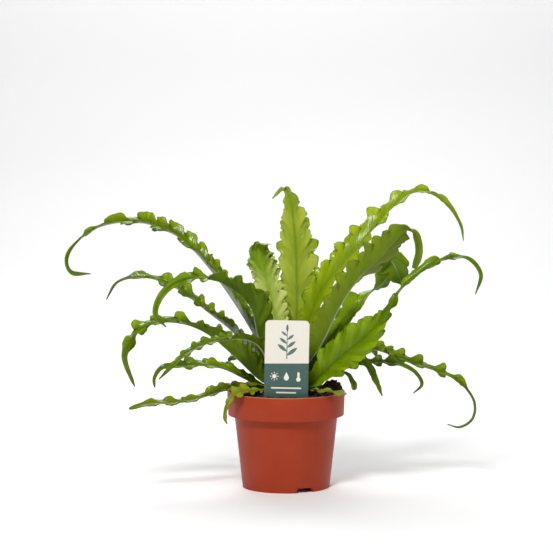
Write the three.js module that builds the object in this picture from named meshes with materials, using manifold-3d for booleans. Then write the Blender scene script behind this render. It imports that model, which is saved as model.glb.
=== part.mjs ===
import * as THREE from 'three';
import { mergeVertices } from 'three/addons/utils/BufferGeometryUtils.js';
import Module from 'manifold-3d';

// A bird's nest fern of the waved Osaka kind, in a plastic nursery pot with a plant label.
// Millimetres, +Z up. The front is towards -Y, and the origin is under the middle of the pot.
const wasm = await Module();
wasm.setup();

// Pot: a 12 cm nursery pot with a deep rim band.
const POT_SIDES = 48;
const POT_HEIGHT = 98;
const RIM_RADIUS = 60;
const BAND_HEIGHT = 24;
const BAND_TAPER = 1;
const NECK_RADIUS = 52.7;
const FOOT_RADIUS = 44.5;
const WALL = 1.6;
const FLOOR = 1.8;
const EDGE = 0.6;
const DRAFT = 0.5;
const CHANNEL_DEPTH = 4.6;
const CHANNEL_INSIDE = 24;
const CHANNEL_OUTSIDE = 40.5;
const NOTCH_WIDTH = 17;
const NOTCH_AZIMUTH = 296;
const DRAIN_HOLE_RADIUS = 4;
const DRAIN_HOLE_CIRCLE = 32;
const DRAIN_HOLES = 6;

// Soil: peat filled to a few millimetres under the rim, with a heap against the right side.
const SOIL_SIDES = 36;
const SOIL_GAP = 0.5;
const SOIL_EDGE = 94.5;
const SOIL_RISE = 4;
const SOIL_LUMP = 0.8;
const SOIL_RINGS = [53, 46, 39, 32, 25, 17];
const HEAP = { x: 49, y: 4, height: 11, spread: 9 };

// Crown: the half-buried rootstock that the fronds grow from, as [radius, height].
const CROWN_SIDES = 20;
const CROWN_PROFILE = [
  [0, 66], [8, 68], [14, 78], [18, 88], [20, 96],
  [19, 102], [16.5, 106.5], [12, 110], [6.5, 112.5], [0, 113.5],
];
const SCALE_RELIEF = 0.35;
const SEAT_GAP = 0.35;

// Inside the crown the midribs start on a low dome.
const ROOT_DOME = { radius: 20, base: 90, rise: 18 };

// Label: a plastic card on a pointed stake.
const LABEL_WIDTH = 44;
const LABEL_TOP = 174;
const LABEL_SHOULDER = 88;
const SHOULDER_DROP = 3;
const LABEL_TIP = 42;
const LABEL_CORNER = 4.5;
const LABEL_THICKNESS = 0.8;
const STAKE_WIDTH = 20;
const LABEL_X = -0.5;
const LABEL_Y = -44;
const LABEL_LEAN = 1.2;

// Fronds. Each row gives the azimuth of the upright plane that the frond lies in, counted from +X towards +Y,
// where it leaves the crown, as [radius, azimuth], and the line of its midrib, as [reach, height] or
// [reach, height, sideways]. Sideways is towards a larger azimuth. Widths are half widths, as
// [share of the length, width]. Fold is how far each half rises from flat. Roll turns the blade about its
// midrib, positive where the left half goes up. Both are [share of the length, degrees]. Wave is the share of
// the full wave height that the margins have.
const PETIOLE = 1.9;
const TIP = 0.7;
const BLADE = 1;
const KEEL = 1.6;
const KEEL_FADE = 0.7;
const ROOT_FOLD = 50;
const HALF_WAVE = 6.2;
const TAIL_STRETCH = 2.2;
const TAIL_START = 0.4;
const WAVE_HEIGHT = 3.4;
const WAVE_WIDTH = 5;
const WAVE_START = 0.1;
const WAVE_END = 0.95;
const WAVE_LEAST = 0.7;
const WAVE_SPARE = 0.5;
const PLACE_SPARE = 0.4;
const LOBE = 0.12;
const VEIN_SLANT = 0.8;

const FRONDS = [
  {
    name: 'frond_left_high', azimuth: 160, root: [5, 172], colour: 0x5c7d1e, wave: 1,
    fold: [[0.3, 50], [0.53, 25], [1, 25]],
    path: [
      [45, 172], [80, 218], [114, 251], [150, 266], [187, 267], [221, 256], [244, 232], [241, 214],
      [218, 212],
    ],
    width: [[0.1, 8], [0.25, 12], [0.4, 11], [0.55, 9.5], [0.7, 8.5], [0.78, 5.5], [0.86, 4], [0.94, 3.4]],
    roll: [[0, 10], [0.28, 5], [0.42, -8], [0.55, -20], [0.8, -22], [0.9, -60], [1, -70]],
  },
  {
    name: 'frond_left_hooked', azimuth: 213, root: [5, 224], colour: 0x4c7212, wave: 0.8,
    fold: [[0.3, 48], [0.57, 19], [1, 24]],
    path: [[31, 152], [42, 186], [67, 208], [96, 217], [125, 215], [145, 202], [152, 184], [140, 170]],
    width: [[0.15, 10], [0.36, 20], [0.5, 14], [0.62, 10], [0.7, 8], [0.76, 5], [0.82, 4], [0.93, 3]],
    roll: [[0, 10], [0.4, 15], [0.58, 8], [0.68, -30], [0.78, -50], [1, -50]],
  },
  {
    name: 'frond_left_whisker', azimuth: 177, root: [11, 184], colour: 0x577b1c, wave: 1,
    fold: [[0.3, 46], [0.51, 23], [1, 23]],
    path: [[49, 154], [78, 178], [105, 199], [128, 210], [150, 214], [172, 208], [184, 190]],
    width: [[0.15, 6], [0.3, 9], [0.5, 9], [0.65, 8], [0.76, 6.5], [0.81, 4.5], [0.85, 2.6], [0.92, 2]],
    roll: [[0, 10], [0.3, 0], [0.42, -8], [0.55, -18], [0.85, -20], [1, -60]],
  },
  {
    name: 'frond_left_broad', azimuth: 196, root: [11, 205], colour: 0x55801c, wave: 1,
    fold: [[0.3, 44], [0.58, 22], [1, 22]],
    path: [
      [26, 110], [54, 136], [80, 158], [103, 169], [126, 172], [145, 168], [159, 156], [167, 137],
      [157, 107],
    ],
    width: [[0.2, 18], [0.35, 15], [0.45, 9], [0.55, 10], [0.7, 9], [0.8, 6], [0.86, 4.2], [0.94, 3.4]],
    roll: [[0, 25], [0.4, 15], [0.5, -8], [0.6, -18], [0.75, -18], [0.85, -60], [1, -70]],
  },
  {
    name: 'frond_left_front', azimuth: 226, root: [11, 238], colour: 0x5f8a1e, wave: 0.6,
    fold: [[0.3, 30], [0.73, 18], [1, 15]],
    path: [[22, 122], [38, 146], [60, 156], [88, 157], [118, 154], [144, 145], [176, 125]],
    width: [[0.3, 8], [0.5, 8], [0.65, 6.5], [0.8, 4.5], [0.92, 2.5]],
    roll: [[0, 20], [0.45, 10], [0.55, -15], [1, -20]],
  },
  {
    name: 'frond_left_arched', azimuth: 188, root: [16, 186], colour: 0x527818, wave: 0.7,
    fold: [[0.3, 30], [0.5, 18], [1, 15]],
    path: [[30, 106], [46, 114], [66, 123], [90, 126], [112, 125], [126, 124], [134, 114], [134, 103]],
    width: [[0.25, 9], [0.5, 8.5], [0.7, 7], [0.78, 4.4], [0.85, 3.4], [0.95, 2.8]],
    roll: [[0, -10], [0.5, -20], [0.85, -50], [1, -60]],
  },
  {
    name: 'frond_left_low', azimuth: 202, root: [16, 206], colour: 0x5c8620, wave: 0.6,
    fold: [[0.3, 25], [0.56, 15], [1, 12]],
    path: [[34, 103.5], [50, 103.5], [68, 102], [88, 97], [106, 93], [128, 92], [148, 92], [168, 88]],
    width: [
      [0.15, 7], [0.24, 9], [0.32, 9.5], [0.42, 8], [0.5, 6], [0.7, 6.5], [0.8, 7], [0.86, 4.5],
      [0.95, 3], [1, 1.5],
    ],
    roll: [[0, -10], [0.5, -15], [0.8, -20], [1, -40]],
  },
  {
    name: 'frond_left_rim', azimuth: 222, root: [16, 228], colour: 0x8c9a35, wave: 0.8,
    fold: [[0.3, 10], [1, 5]],
    path: [[34, 101], [50, 102], [62, 102], [73, 98], [80, 88], [82, 78], [79, 71]],
    width: [[0.25, 5], [0.36, 8.5], [0.46, 10], [0.55, 8], [0.64, 3.5], [0.9, 2]],
    roll: [[0, 0], [0.5, -20], [1, -20]],
  },
  {
    name: 'frond_right_high', azimuth: 14, root: [5, 28], colour: 0x95ac24, wave: 0.9,
    fold: [[0.3, 38], [0.59, 27], [1, 19]],
    path: [
      [21, 160], [38, 200], [66, 234], [96, 268], [124, 294], [147, 300], [171, 287], [186, 266],
      [190, 248],
    ],
    width: [[0.15, 10], [0.3, 15], [0.48, 16], [0.6, 13], [0.72, 9], [0.82, 7], [0.88, 4], [0.94, 2.4]],
    roll: [[0, 35], [0.3, 52], [0.45, 40], [0.6, 18], [0.8, 14], [0.9, 50], [1, 60]],
  },
  {
    name: 'frond_right_dark', azimuth: 340, root: [5, 328], colour: 0x68801a, wave: 0.5,
    fold: [[0.3, 45], [0.89, 14], [1, 22]],
    path: [
      [34, 142], [56, 184], [77, 215], [98, 235], [114, 252], [125, 263.5], [134, 260, 4],
      [137, 243, 8], [132, 225, 9],
    ],
    width: [
      [0.07, 11], [0.15, 15], [0.28, 17], [0.42, 15], [0.56, 15.5], [0.68, 17], [0.76, 14],
      [0.81, 9], [0.835, 5.2], [0.96, 4.6], [1, 3],
    ],
    roll: [[0, -20], [0.45, -25], [0.62, -50], [0.78, -52], [0.87, 35], [1, 50]],
  },
  {
    name: 'frond_right_folded', azimuth: 15, root: [11, 18], colour: 0x6c9a14, wave: 0.8,
    fold: [[0.3, 38], [0.5, 23], [1, 19]],
    path: [
      [24, 114], [40, 141], [57, 164], [70, 179], [89, 196], [104, 209, -2], [107, 224, -8],
      [109, 228, -13], [112, 219, -20], [115, 205, -26],
    ],
    width: [[0.12, 7], [0.26, 12], [0.38, 9], [0.6, 8], [0.74, 9], [0.88, 13], [0.96, 8]],
    roll: [[0, 20], [0.2, 45], [0.32, 60], [0.5, 60], [0.8, -70], [1, -85]],
  },
  {
    name: 'frond_right_bright', azimuth: 332, root: [11, 330], colour: 0x6f9d0e, wave: 0.7,
    fold: [[0.3, 12], [0.81, 7], [1, 6]],
    path: [
      [29, 106], [59, 134], [88, 157], [107, 177, 3], [121, 202, 8], [137, 222, 18], [158, 235, 33],
      [178, 236, 48], [189, 220, 57], [183, 199, 58],
    ],
    width: [
      [0.04, 8.5], [0.1, 12], [0.2, 17.5], [0.31, 18.5], [0.37, 15], [0.42, 9], [0.47, 5],
      [0.53, 4], [0.7, 4.5], [0.78, 5], [0.83, 2.8], [0.93, 2.2],
    ],
    roll: [[0, 30], [0.12, 80], [0.44, 80], [0.55, 55], [0.7, 35], [0.8, 10], [0.9, 40], [1, 50]],
  },
  {
    name: 'frond_right_long', azimuth: 8, root: [16, 14], colour: 0x557d1c, wave: 1,
    fold: [[0.3, 30], [0.52, 18], [1, 15]],
    path: [
      [26, 110], [44, 124], [68, 137], [94, 139], [127, 126], [160, 115], [182, 103], [196, 84],
      [195, 66], [182, 57], [168, 60],
    ],
    width: [[0.25, 9], [0.45, 10], [0.6, 9], [0.7, 6], [0.76, 2.8], [0.9, 2]],
    roll: [[0, 10], [0.5, 20], [0.75, 20], [0.9, 50], [1, 50]],
  },
  {
    name: 'frond_right_middle', azimuth: 356, root: [16, 358], colour: 0x507618, wave: 1,
    fold: [[0.3, 25], [0.6, 15], [1, 12]],
    path: [[28, 105], [44, 115], [62, 124], [88, 128], [112, 127], [130, 119], [138, 106], [129, 96]],
    width: [[0.3, 8], [0.5, 8], [0.62, 6], [0.7, 3.4], [0.88, 2.4]],
    roll: [[0, 0], [0.5, 15], [0.8, 40], [1, 60]],
  },
  {
    name: 'frond_right_hanging', azimuth: 346, root: [11, 354], colour: 0x55801c, wave: 0.5,
    fold: [[0.3, 25], [1, 12]],
    path: [[28, 114], [50, 132], [70, 136], [84, 127], [93, 112], [100, 95]],
    width: [[0.3, 5], [0.6, 5], [0.75, 4.6], [0.9, 2.6]],
    roll: [[0, 0], [0.6, 40], [1, 60]],
  },
  {
    name: 'frond_right_small', azimuth: 338, root: [16, 342], colour: 0x5f8a1e, wave: 0.8,
    fold: [[0.3, 25], [1, 12]],
    path: [[30, 106, 3], [44, 114, 3], [57, 119, 3], [66, 117, 4], [71, 108, 5], [72, 101, 6]],
    width: [[0.3, 3], [0.5, 1.6], [0.8, 1.8], [0.92, 3.4], [1, 2.4]],
    roll: [[0, 0], [0.7, 40], [1, 60]],
  },
  {
    name: 'frond_right_rim', azimuth: 310, root: [16, 308], colour: 0x7a9430, wave: 0.5,
    fold: [[0.3, 15], [1, 8]],
    path: [[34, 102], [50, 103.5], [66, 103.5, 3], [76, 102, 8], [80, 101, 11]],
    width: [[0.2, 2.6], [0.35, 3.4], [0.6, 6], [0.9, 5.5], [1, 4]],
    roll: [[0, 0], [1, 0]],
  },
  {
    name: 'frond_centre_tall', azimuth: 88, root: [8, 75], colour: 0x9fae3c, wave: 0.8,
    fold: [[0.3, 10], [0.54, 6], [1, 5]],
    path: [
      [18, 132, -6], [28, 170, -10], [38, 210, -10], [46, 250, -8], [52, 284, -4], [53, 303, 3],
      [47, 292, 16],
    ],
    width: [
      [0.08, 8], [0.25, 11], [0.4, 15], [0.52, 19], [0.64, 19], [0.74, 15], [0.84, 8], [0.9, 4.5],
      [0.95, 2],
    ],
    roll: [[0, 0], [1, 0]],
  },
  {
    name: 'frond_centre_curled', azimuth: 95, root: [9, 130], colour: 0xb4c464, wave: 0.5,
    fold: [[0.3, 15], [0.85, 9], [1, 8]],
    path: [
      [12, 138, 4], [18, 170, 9], [22, 198, 15], [25, 222, 22], [24, 238, 26], [20, 246, 22],
      [16, 247, 15],
    ],
    width: [[0.2, 6], [0.4, 12], [0.55, 14], [0.75, 14], [0.88, 12], [1, 6]],
    roll: [[0, 0], [1, 0]],
  },
  {
    name: 'frond_back_1', azimuth: 38, root: [11, 46], colour: 0x5c8620, wave: 1,
    fold: [[0.3, 30], [1, 15]],
    path: [[34, 124], [60, 142], [88, 146], [112, 136], [126, 118]],
    width: [[0.3, 9], [0.6, 8], [0.85, 4]],
    roll: [[0, 0], [1, 0]],
  },
  {
    name: 'frond_back_2', azimuth: 62, root: [16, 60], colour: 0x55801c, wave: 1,
    fold: [[0.3, 30], [1, 15]],
    path: [[34, 116], [60, 132], [88, 134], [112, 120], [124, 98]],
    width: [[0.3, 8], [0.6, 8], [0.85, 4]],
    roll: [[0, 0], [1, 0]],
  },
  {
    name: 'frond_back_3', azimuth: 84, root: [15, 84], colour: 0x64901e, wave: 1,
    fold: [[0.3, 30], [1, 15]],
    path: [[42, 140], [66, 182], [94, 206], [124, 206], [152, 184], [166, 152]],
    width: [[0.3, 12], [0.55, 12], [0.72, 7], [0.88, 4]],
    roll: [[0, 0], [1, 0]],
  },
  {
    name: 'frond_back_4', azimuth: 103, root: [16, 104], colour: 0x55801c, wave: 1,
    fold: [[0.3, 30], [1, 15]],
    path: [[34, 120], [62, 140], [94, 142], [122, 124], [136, 98]],
    width: [[0.3, 9], [0.6, 9], [0.85, 4]],
    roll: [[0, 0], [1, 0]],
  },
  {
    name: 'frond_back_5', azimuth: 124, root: [16, 126], colour: 0x5c8620, wave: 1,
    fold: [[0.3, 30], [1, 15]],
    path: [[32, 116], [52, 134], [72, 142], [92, 138], [104, 124]],
    width: [[0.3, 8], [0.6, 8], [0.85, 4]],
    roll: [[0, 0], [1, 0]],
  },
  {
    name: 'frond_back_6', azimuth: 147, root: [16, 149], colour: 0x55801c, wave: 1,
    fold: [[0.3, 30], [1, 15]],
    path: [[30, 112], [44, 124], [56, 129], [66, 127], [74, 119]],
    width: [[0.3, 7], [0.6, 7], [0.85, 3.5]],
    roll: [[0, 0], [1, 0]],
  },
];

const radians = THREE.MathUtils.degToRad;

// A closed geometry as a solid that can be joined and cut, without the faces that shrink to a line at a pole.
function solidOf(geometry) {
  const bare = new THREE.BufferGeometry();
  bare.setAttribute('position', geometry.getAttribute('position').clone());
  bare.setIndex(geometry.getIndex());
  const merged = mergeVertices(bare, 1e-4);
  const corners = [];
  for (let i = 0; i < merged.index.count; i += 3) {
    const [a, b, c] = [0, 1, 2].map((k) => merged.index.getX(i + k));
    if (a !== b && b !== c && c !== a) corners.push(a, b, c);
  }
  return new wasm.Manifold(new wasm.Mesh({
    numProp: 3,
    vertProperties: new Float32Array(merged.attributes.position.array),
    triVerts: new Uint32Array(corners),
  }));
}

function geometryOf(solid) {
  const mesh = solid.getMesh();
  const geometry = new THREE.BufferGeometry();
  geometry.setAttribute('position', new THREE.BufferAttribute(mesh.vertProperties, 3));
  geometry.setIndex(new THREE.BufferAttribute(mesh.triVerts, 1));
  geometry.computeVertexNormals();
  return geometry;
}

function meshOf(name, geometry, colour, roughness) {
  const material = new THREE.MeshStandardMaterial({ color: colour, roughness, metalness: 0 });
  const mesh = new THREE.Mesh(geometry, material);
  mesh.name = name;
  return mesh;
}

// A profile of [radius, height] turned about the upright axis.
function turned(profile, sides) {
  const points = profile.map(([radius, height]) => new THREE.Vector2(radius, height));
  return new THREE.LatheGeometry(points, sides).rotateX(Math.PI / 2);
}

// Smooth steps between knots of [place, value].
function between(knots, place) {
  const next = knots.findIndex(([at]) => at > place);
  if (next === 0) return knots[0][1];
  if (next < 0) return knots[knots.length - 1][1];
  const [from, low] = knots[next - 1];
  const [to, high] = knots[next];
  return low + (high - low) * THREE.MathUtils.smoothstep(place, from, to);
}

// Sizes of the pot's inside that follow from its outside.
const NECK_HEIGHT = POT_HEIGHT - BAND_HEIGHT;
const FLOOR_TOP = CHANNEL_DEPTH + FLOOR;
const INSIDE_FOOT = FOOT_RADIUS - WALL;
const INSIDE_NECK = NECK_RADIUS - WALL;
const INSIDE_BAND = RIM_RADIUS - BAND_TAPER - WALL;

function makePot() {
  let pot = solidOf(turned([
    [0, 0], [CHANNEL_INSIDE, 0], [CHANNEL_INSIDE + DRAFT, CHANNEL_DEPTH],
    [CHANNEL_OUTSIDE - DRAFT, CHANNEL_DEPTH], [CHANNEL_OUTSIDE, 0],
    [FOOT_RADIUS - EDGE, 0], [FOOT_RADIUS, EDGE],
    [NECK_RADIUS, NECK_HEIGHT - EDGE], [RIM_RADIUS - BAND_TAPER - EDGE, NECK_HEIGHT],
    [RIM_RADIUS - BAND_TAPER, NECK_HEIGHT + EDGE], [RIM_RADIUS, POT_HEIGHT - EDGE],
    [RIM_RADIUS - EDGE, POT_HEIGHT], [RIM_RADIUS - WALL, POT_HEIGHT],
    [INSIDE_BAND, NECK_HEIGHT + WALL], [INSIDE_NECK, NECK_HEIGHT + WALL - EDGE],
    [INSIDE_FOOT, FLOOR_TOP], [0, FLOOR_TOP],
  ], POT_SIDES));
  for (let i = 0; i < 3; i += 1) {
    const notch = new THREE.BoxGeometry(2 * (FOOT_RADIUS - CHANNEL_OUTSIDE), NOTCH_WIDTH, 2 * CHANNEL_DEPTH);
    notch.translate((FOOT_RADIUS + CHANNEL_OUTSIDE) / 2, 0, 0);
    pot = pot.subtract(solidOf(notch.rotateZ(radians(NOTCH_AZIMUTH + 120 * i))));
  }
  for (let i = 0; i < DRAIN_HOLES; i += 1) {
    const hole = new THREE.CylinderGeometry(DRAIN_HOLE_RADIUS, DRAIN_HOLE_RADIUS, 4 * FLOOR, 12);
    hole.rotateX(Math.PI / 2).translate(DRAIN_HOLE_CIRCLE, 0, FLOOR_TOP - FLOOR / 2);
    pot = pot.subtract(solidOf(hole.rotateZ((2 * Math.PI * i) / DRAIN_HOLES)));
  }
  return geometryOf(pot);
}

// The crown, or the space that it takes up with a gap round it.
function crownSolid(gap) {
  const [bottom, top] = [CROWN_PROFILE[0][1], CROWN_PROFILE[CROWN_PROFILE.length - 1][1]];
  const grown = CROWN_PROFILE.map(([radius, height]) => [
    radius === 0 ? 0 : radius + gap,
    height + gap * ((2 * height - bottom - top) / (top - bottom)),
  ]);
  const geometry = turned(grown, CROWN_SIDES);
  const place = geometry.getAttribute('position');
  for (let i = 0; i < place.count; i += 1) {
    const ring = i % grown.length;
    const side = Math.floor(i / grown.length);
    const radius = grown[ring][0];
    if (radius > 0) {
      const scaled = (radius + SCALE_RELIEF * (-1) ** (ring + side)) / radius;
      place.setXY(i, place.getX(i) * scaled, place.getY(i) * scaled);
    }
  }
  return solidOf(geometry);
}

// The label's outline, stake and all, wider by a gap where it is the slot in the soil.
function labelSolid(gap) {
  const half = LABEL_WIDTH / 2 + gap;
  const stake = STAKE_WIDTH / 2 + gap;
  const outline = new THREE.Shape();
  outline.moveTo(0, LABEL_TIP - 2 * gap);
  outline.lineTo(stake, LABEL_TIP + STAKE_WIDTH);
  outline.lineTo(stake, LABEL_SHOULDER - SHOULDER_DROP - gap);
  outline.lineTo(half, LABEL_SHOULDER - gap);
  outline.lineTo(half, LABEL_TOP - LABEL_CORNER);
  outline.absarc(half - LABEL_CORNER, LABEL_TOP - LABEL_CORNER, LABEL_CORNER, 0, Math.PI / 2);
  outline.absarc(LABEL_CORNER - half, LABEL_TOP - LABEL_CORNER, LABEL_CORNER, Math.PI / 2, Math.PI);
  outline.lineTo(-half, LABEL_SHOULDER - gap);
  outline.lineTo(-stake, LABEL_SHOULDER - SHOULDER_DROP - gap);
  outline.lineTo(-stake, LABEL_TIP + STAKE_WIDTH);
  const depth = LABEL_THICKNESS + 2 * gap;
  const card = new THREE.ExtrudeGeometry(outline, { depth, bevelEnabled: false, curveSegments: 5 });
  card.translate(0, 0, -depth / 2).rotateX(Math.PI / 2);
  card.translate(0, 0, -LABEL_SHOULDER).rotateY(radians(LABEL_LEAN));
  card.translate(LABEL_X, LABEL_Y, LABEL_SHOULDER);
  return solidOf(card);
}

// The soil's surface: a low mound, a heap against the wall on the right, and lumps a few millimetres across.
function soilHeight(x, y) {
  const edge = Math.hypot(x, y) / INSIDE_BAND;
  const heap = HEAP.height * Math.exp(-((x - HEAP.x) ** 2 + (y - HEAP.y) ** 2) / (2 * HEAP.spread ** 2));
  const lumps = Math.sin(0.55 * x + 0.9) * Math.cos(0.47 * y) + Math.sin(0.83 * x - 0.71 * y + 2);
  return SOIL_EDGE + SOIL_RISE * (1 - edge ** 2) + heap + SOIL_LUMP * lumps * Math.min(1, 4 * (1.05 - edge));
}

function makeSoil() {
  const surface = [INSIDE_BAND - SOIL_GAP, ...SOIL_RINGS];
  const buried = [
    [0, FLOOR_TOP + SOIL_GAP], [INSIDE_FOOT - SOIL_GAP, FLOOR_TOP + SOIL_GAP],
    [INSIDE_NECK - SOIL_GAP, NECK_HEIGHT + WALL], [INSIDE_BAND - SOIL_GAP, NECK_HEIGHT + WALL + SOIL_GAP],
  ];
  const profile = [...buried, ...surface.map((radius) => [radius, SOIL_EDGE]), [0, SOIL_EDGE]];
  const geometry = turned(profile, SOIL_SIDES);
  const place = geometry.getAttribute('position');
  for (let i = 0; i < place.count; i += 1) {
    if (i % profile.length >= buried.length) place.setZ(i, soilHeight(place.getX(i), place.getY(i)));
  }
  return geometryOf(solidOf(geometry).subtract(crownSolid(SEAT_GAP)).subtract(labelSolid(SEAT_GAP)));
}

// A number from 0 to 1 that looks random and is the same each time.
function scatter(count, seed) {
  return (count * 0.618034 + seed * 0.377) % 1;
}

// The midrib of a frond, from inside the crown to the tip.
function midribOf(frond) {
  const out = new THREE.Vector3(Math.cos(radians(frond.azimuth)), Math.sin(radians(frond.azimuth)), 0);
  const side = new THREE.Vector3(-out.y, out.x, 0);
  const [radius, azimuth] = frond.root;
  const rise = ROOT_DOME.rise * Math.sqrt(1 - (radius / ROOT_DOME.radius) ** 2);
  const root = new THREE.Vector3(radius, 0, ROOT_DOME.base + rise)
    .applyAxisAngle(new THREE.Vector3(0, 0, 1), radians(azimuth));
  const points = frond.path.map(([reach, height, sideways = 0]) => new THREE.Vector3(0, 0, height)
    .addScaledVector(out, reach).addScaledVector(side, sideways));
  const curve = new THREE.CatmullRomCurve3([root, ...points], false, 'catmullrom', 0.5);
  curve.arcLengthDivisions = 400;
  return { curve, side, length: curve.getLength() };
}

// The six corners of a frond's section, where each margin and the midrib may be at places of their own.
function sectionOf(frond, midrib, places, waves) {
  const knots = [[0, PETIOLE], ...frond.width, [1, TIP]];
  const corners = (share, hand, wave) => {
    const place = Math.min(Math.max(share, 0), 1);
    const point = midrib.curve.getPointAt(place);
    const along = midrib.curve.getTangentAt(place);
    const across = midrib.side.clone().addScaledVector(along, -midrib.side.dot(along)).normalize();
    const up = along.clone().cross(across);
    const roll = radians(between(frond.roll, place));
    const fold = radians(between([[0, ROOT_FOLD], ...frond.fold], place));
    const outward = across.clone().multiplyScalar(Math.cos(roll)).addScaledVector(up, Math.sin(roll));
    const upward = up.clone().multiplyScalar(Math.cos(roll)).addScaledVector(across, -Math.sin(roll));
    if (hand === 0) {
      const rise = BLADE / 2 / Math.cos(fold);
      const keel = rise + KEEL * (1 - place) ** KEEL_FADE;
      return [point.clone().addScaledVector(upward, rise), point.clone().addScaledVector(upward, -keel)];
    }
    const width = between(knots, place) * (1 + LOBE * wave);
    const [flat, raised] = [Math.cos(fold), Math.sin(fold)];
    const reach = outward.clone().multiplyScalar(hand * flat).addScaledVector(upward, raised);
    const face = upward.clone().multiplyScalar(flat).addScaledVector(outward, -hand * raised);
    const height = frond.wave * WAVE_HEIGHT * (1 - Math.exp(-width / WAVE_WIDTH)) * wave
      * THREE.MathUtils.smoothstep(place, WAVE_START / 2, 2 * WAVE_START)
      * (1 - THREE.MathUtils.smoothstep(place, WAVE_END, 1));
    const margin = point.clone().addScaledVector(reach, width).addScaledVector(face, height);
    return [1, -1].map((way) => margin.clone().addScaledVector(face, (way * BLADE) / 2));
  };
  const [leftTop, leftBottom] = corners(places.left, 1, waves.left);
  const [middleTop, middleBottom] = corners(places.middle, 0, 0);
  const [rightTop, rightBottom] = corners(places.right, -1, waves.right);
  return [leftTop, middleTop, rightTop, rightBottom, middleBottom, leftBottom];
}

// Rings of six corners joined into a closed blade whose upper and lower faces are split alike.
function loft(rings) {
  const faces = [];
  const quad = (a, b, c, d, turnedSplit) => {
    faces.push(...(turnedSplit ? [a, b, d, b, c, d] : [a, b, c, a, c, d]));
  };
  for (let i = 0; i + 1 < rings.length; i += 1) {
    for (let j = 0; j < 6; j += 1) {
      const [here, next] = [6 * i + j, 6 * i + ((j + 1) % 6)];
      quad(here, next, next + 6, here + 6, j === 3 || j === 4);
    }
  }
  const last = 6 * (rings.length - 1);
  faces.push(0, 5, 4, 0, 4, 1, 1, 4, 3, 1, 3, 2);
  faces.push(...[0, 4, 5, 0, 1, 4, 1, 3, 4, 1, 2, 3].map((corner) => corner + last));
  const geometry = new THREE.BufferGeometry().setFromPoints(rings.flat());
  geometry.setIndex(faces);
  return geometry;
}

// Shares of the length that are half a wave apart, and further apart in the tail.
function placesOf(length) {
  const places = [0];
  for (;;) {
    const place = places[places.length - 1];
    const halfWave = (HALF_WAVE * (1 + TAIL_STRETCH * Math.max(0, place - TAIL_START))) / length;
    if (place + 1.4 * halfWave > 1) return [...places, 1];
    places.push(place + halfWave);
  }
}

function makeFrond(frond, seed) {
  const midrib = midribOf(frond);
  const places = placesOf(midrib.length);
  const rings = places.map((place, step) => {
    const way = (-1) ** step;
    const [left, right] = [scatter(step, seed), scatter(step, seed + 1)];
    const slant = (VEIN_SLANT * between([[0, PETIOLE], ...frond.width, [1, TIP]], place)) / midrib.length;
    const spare = (PLACE_SPARE * HALF_WAVE) / midrib.length;
    const atEnd = step === 0 || place === 1;
    return sectionOf(frond, midrib, {
      left: atEnd ? place : place + slant + (left - 0.5) * spare,
      middle: place,
      right: atEnd ? place : place + slant + (right - 0.5) * spare,
    }, {
      left: way * (WAVE_LEAST + WAVE_SPARE * right),
      right: -way * (WAVE_LEAST + WAVE_SPARE * left),
    });
  });
  return geometryOf(solidOf(loft(rings)).subtract(crownSolid(SEAT_GAP)));
}

const group = new THREE.Group();
group.add(meshOf('pot', makePot(), 0xa5412d, 0.45));
group.add(meshOf('soil', makeSoil(), 0x2b1d16, 0.95));
group.add(meshOf('crown', geometryOf(crownSolid(0)), 0x4a3520, 0.9));
group.add(meshOf('label', geometryOf(labelSolid(0)), 0xf0eae0, 0.5));
FRONDS.forEach((frond, seed) => {
  group.add(meshOf(frond.name, makeFrond(frond, seed), frond.colour, 0.4));
});

export default group;
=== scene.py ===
import math

import bmesh
import bpy
import numpy as np
from mathutils import Matrix, Vector, noise


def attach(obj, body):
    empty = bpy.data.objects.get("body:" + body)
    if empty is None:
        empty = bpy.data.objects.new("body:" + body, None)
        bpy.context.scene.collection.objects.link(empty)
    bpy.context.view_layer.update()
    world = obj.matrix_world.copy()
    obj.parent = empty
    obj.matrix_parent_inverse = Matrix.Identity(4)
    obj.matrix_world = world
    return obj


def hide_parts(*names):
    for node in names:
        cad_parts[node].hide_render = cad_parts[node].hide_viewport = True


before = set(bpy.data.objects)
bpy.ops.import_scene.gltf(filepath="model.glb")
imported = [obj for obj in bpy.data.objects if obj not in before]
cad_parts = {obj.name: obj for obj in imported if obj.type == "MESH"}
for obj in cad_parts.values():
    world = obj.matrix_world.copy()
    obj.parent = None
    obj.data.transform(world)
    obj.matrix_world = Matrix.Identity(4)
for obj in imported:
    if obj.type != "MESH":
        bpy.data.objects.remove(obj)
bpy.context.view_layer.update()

# Camera: a long lens two metres in front of the plant, a little above it and tipped down.
scene = bpy.context.scene
camera_data = bpy.data.cameras.new("camera")
camera_data.sensor_width = 36
camera_data.lens = 128.6
camera = bpy.data.objects.new("camera", camera_data)
camera.location = (-0.0097, -2.0, 0.358)
camera.rotation_euler = (math.radians(90 - 4.1), 0, 0)
scene.collection.objects.link(camera)
scene.camera = camera
scene.view_settings.view_transform = "Standard"

# Studio: a white paper sweep under and behind the plant, lit from above on its own, with a small soft light
# from the upper left as the key, a large weak one from the right as the fill, and one from behind that shines
# through the leaves.


def linear(code):
    """An sRGB hex colour as linear red, green, blue and alpha."""
    parts = [int(code[i : i + 2], 16) / 255 for i in (1, 3, 5)]
    return [p / 12.92 if p <= 0.04045 else ((p + 0.055) / 1.055) ** 2.4 for p in parts] + [1.0]


def add(tree, kind, settings=None, links=None):
    """A node with its settings, where a number is an input's place, and its links from other outputs."""
    node = tree.nodes.new(kind)
    for key, value in (settings or {}).items():
        if isinstance(key, str) and hasattr(node, key):
            setattr(node, key, value)
        else:
            node.inputs[key].default_value = value
    for key, output in (links or {}).items():
        tree.links.new(output, node.inputs[key])
    return node


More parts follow.
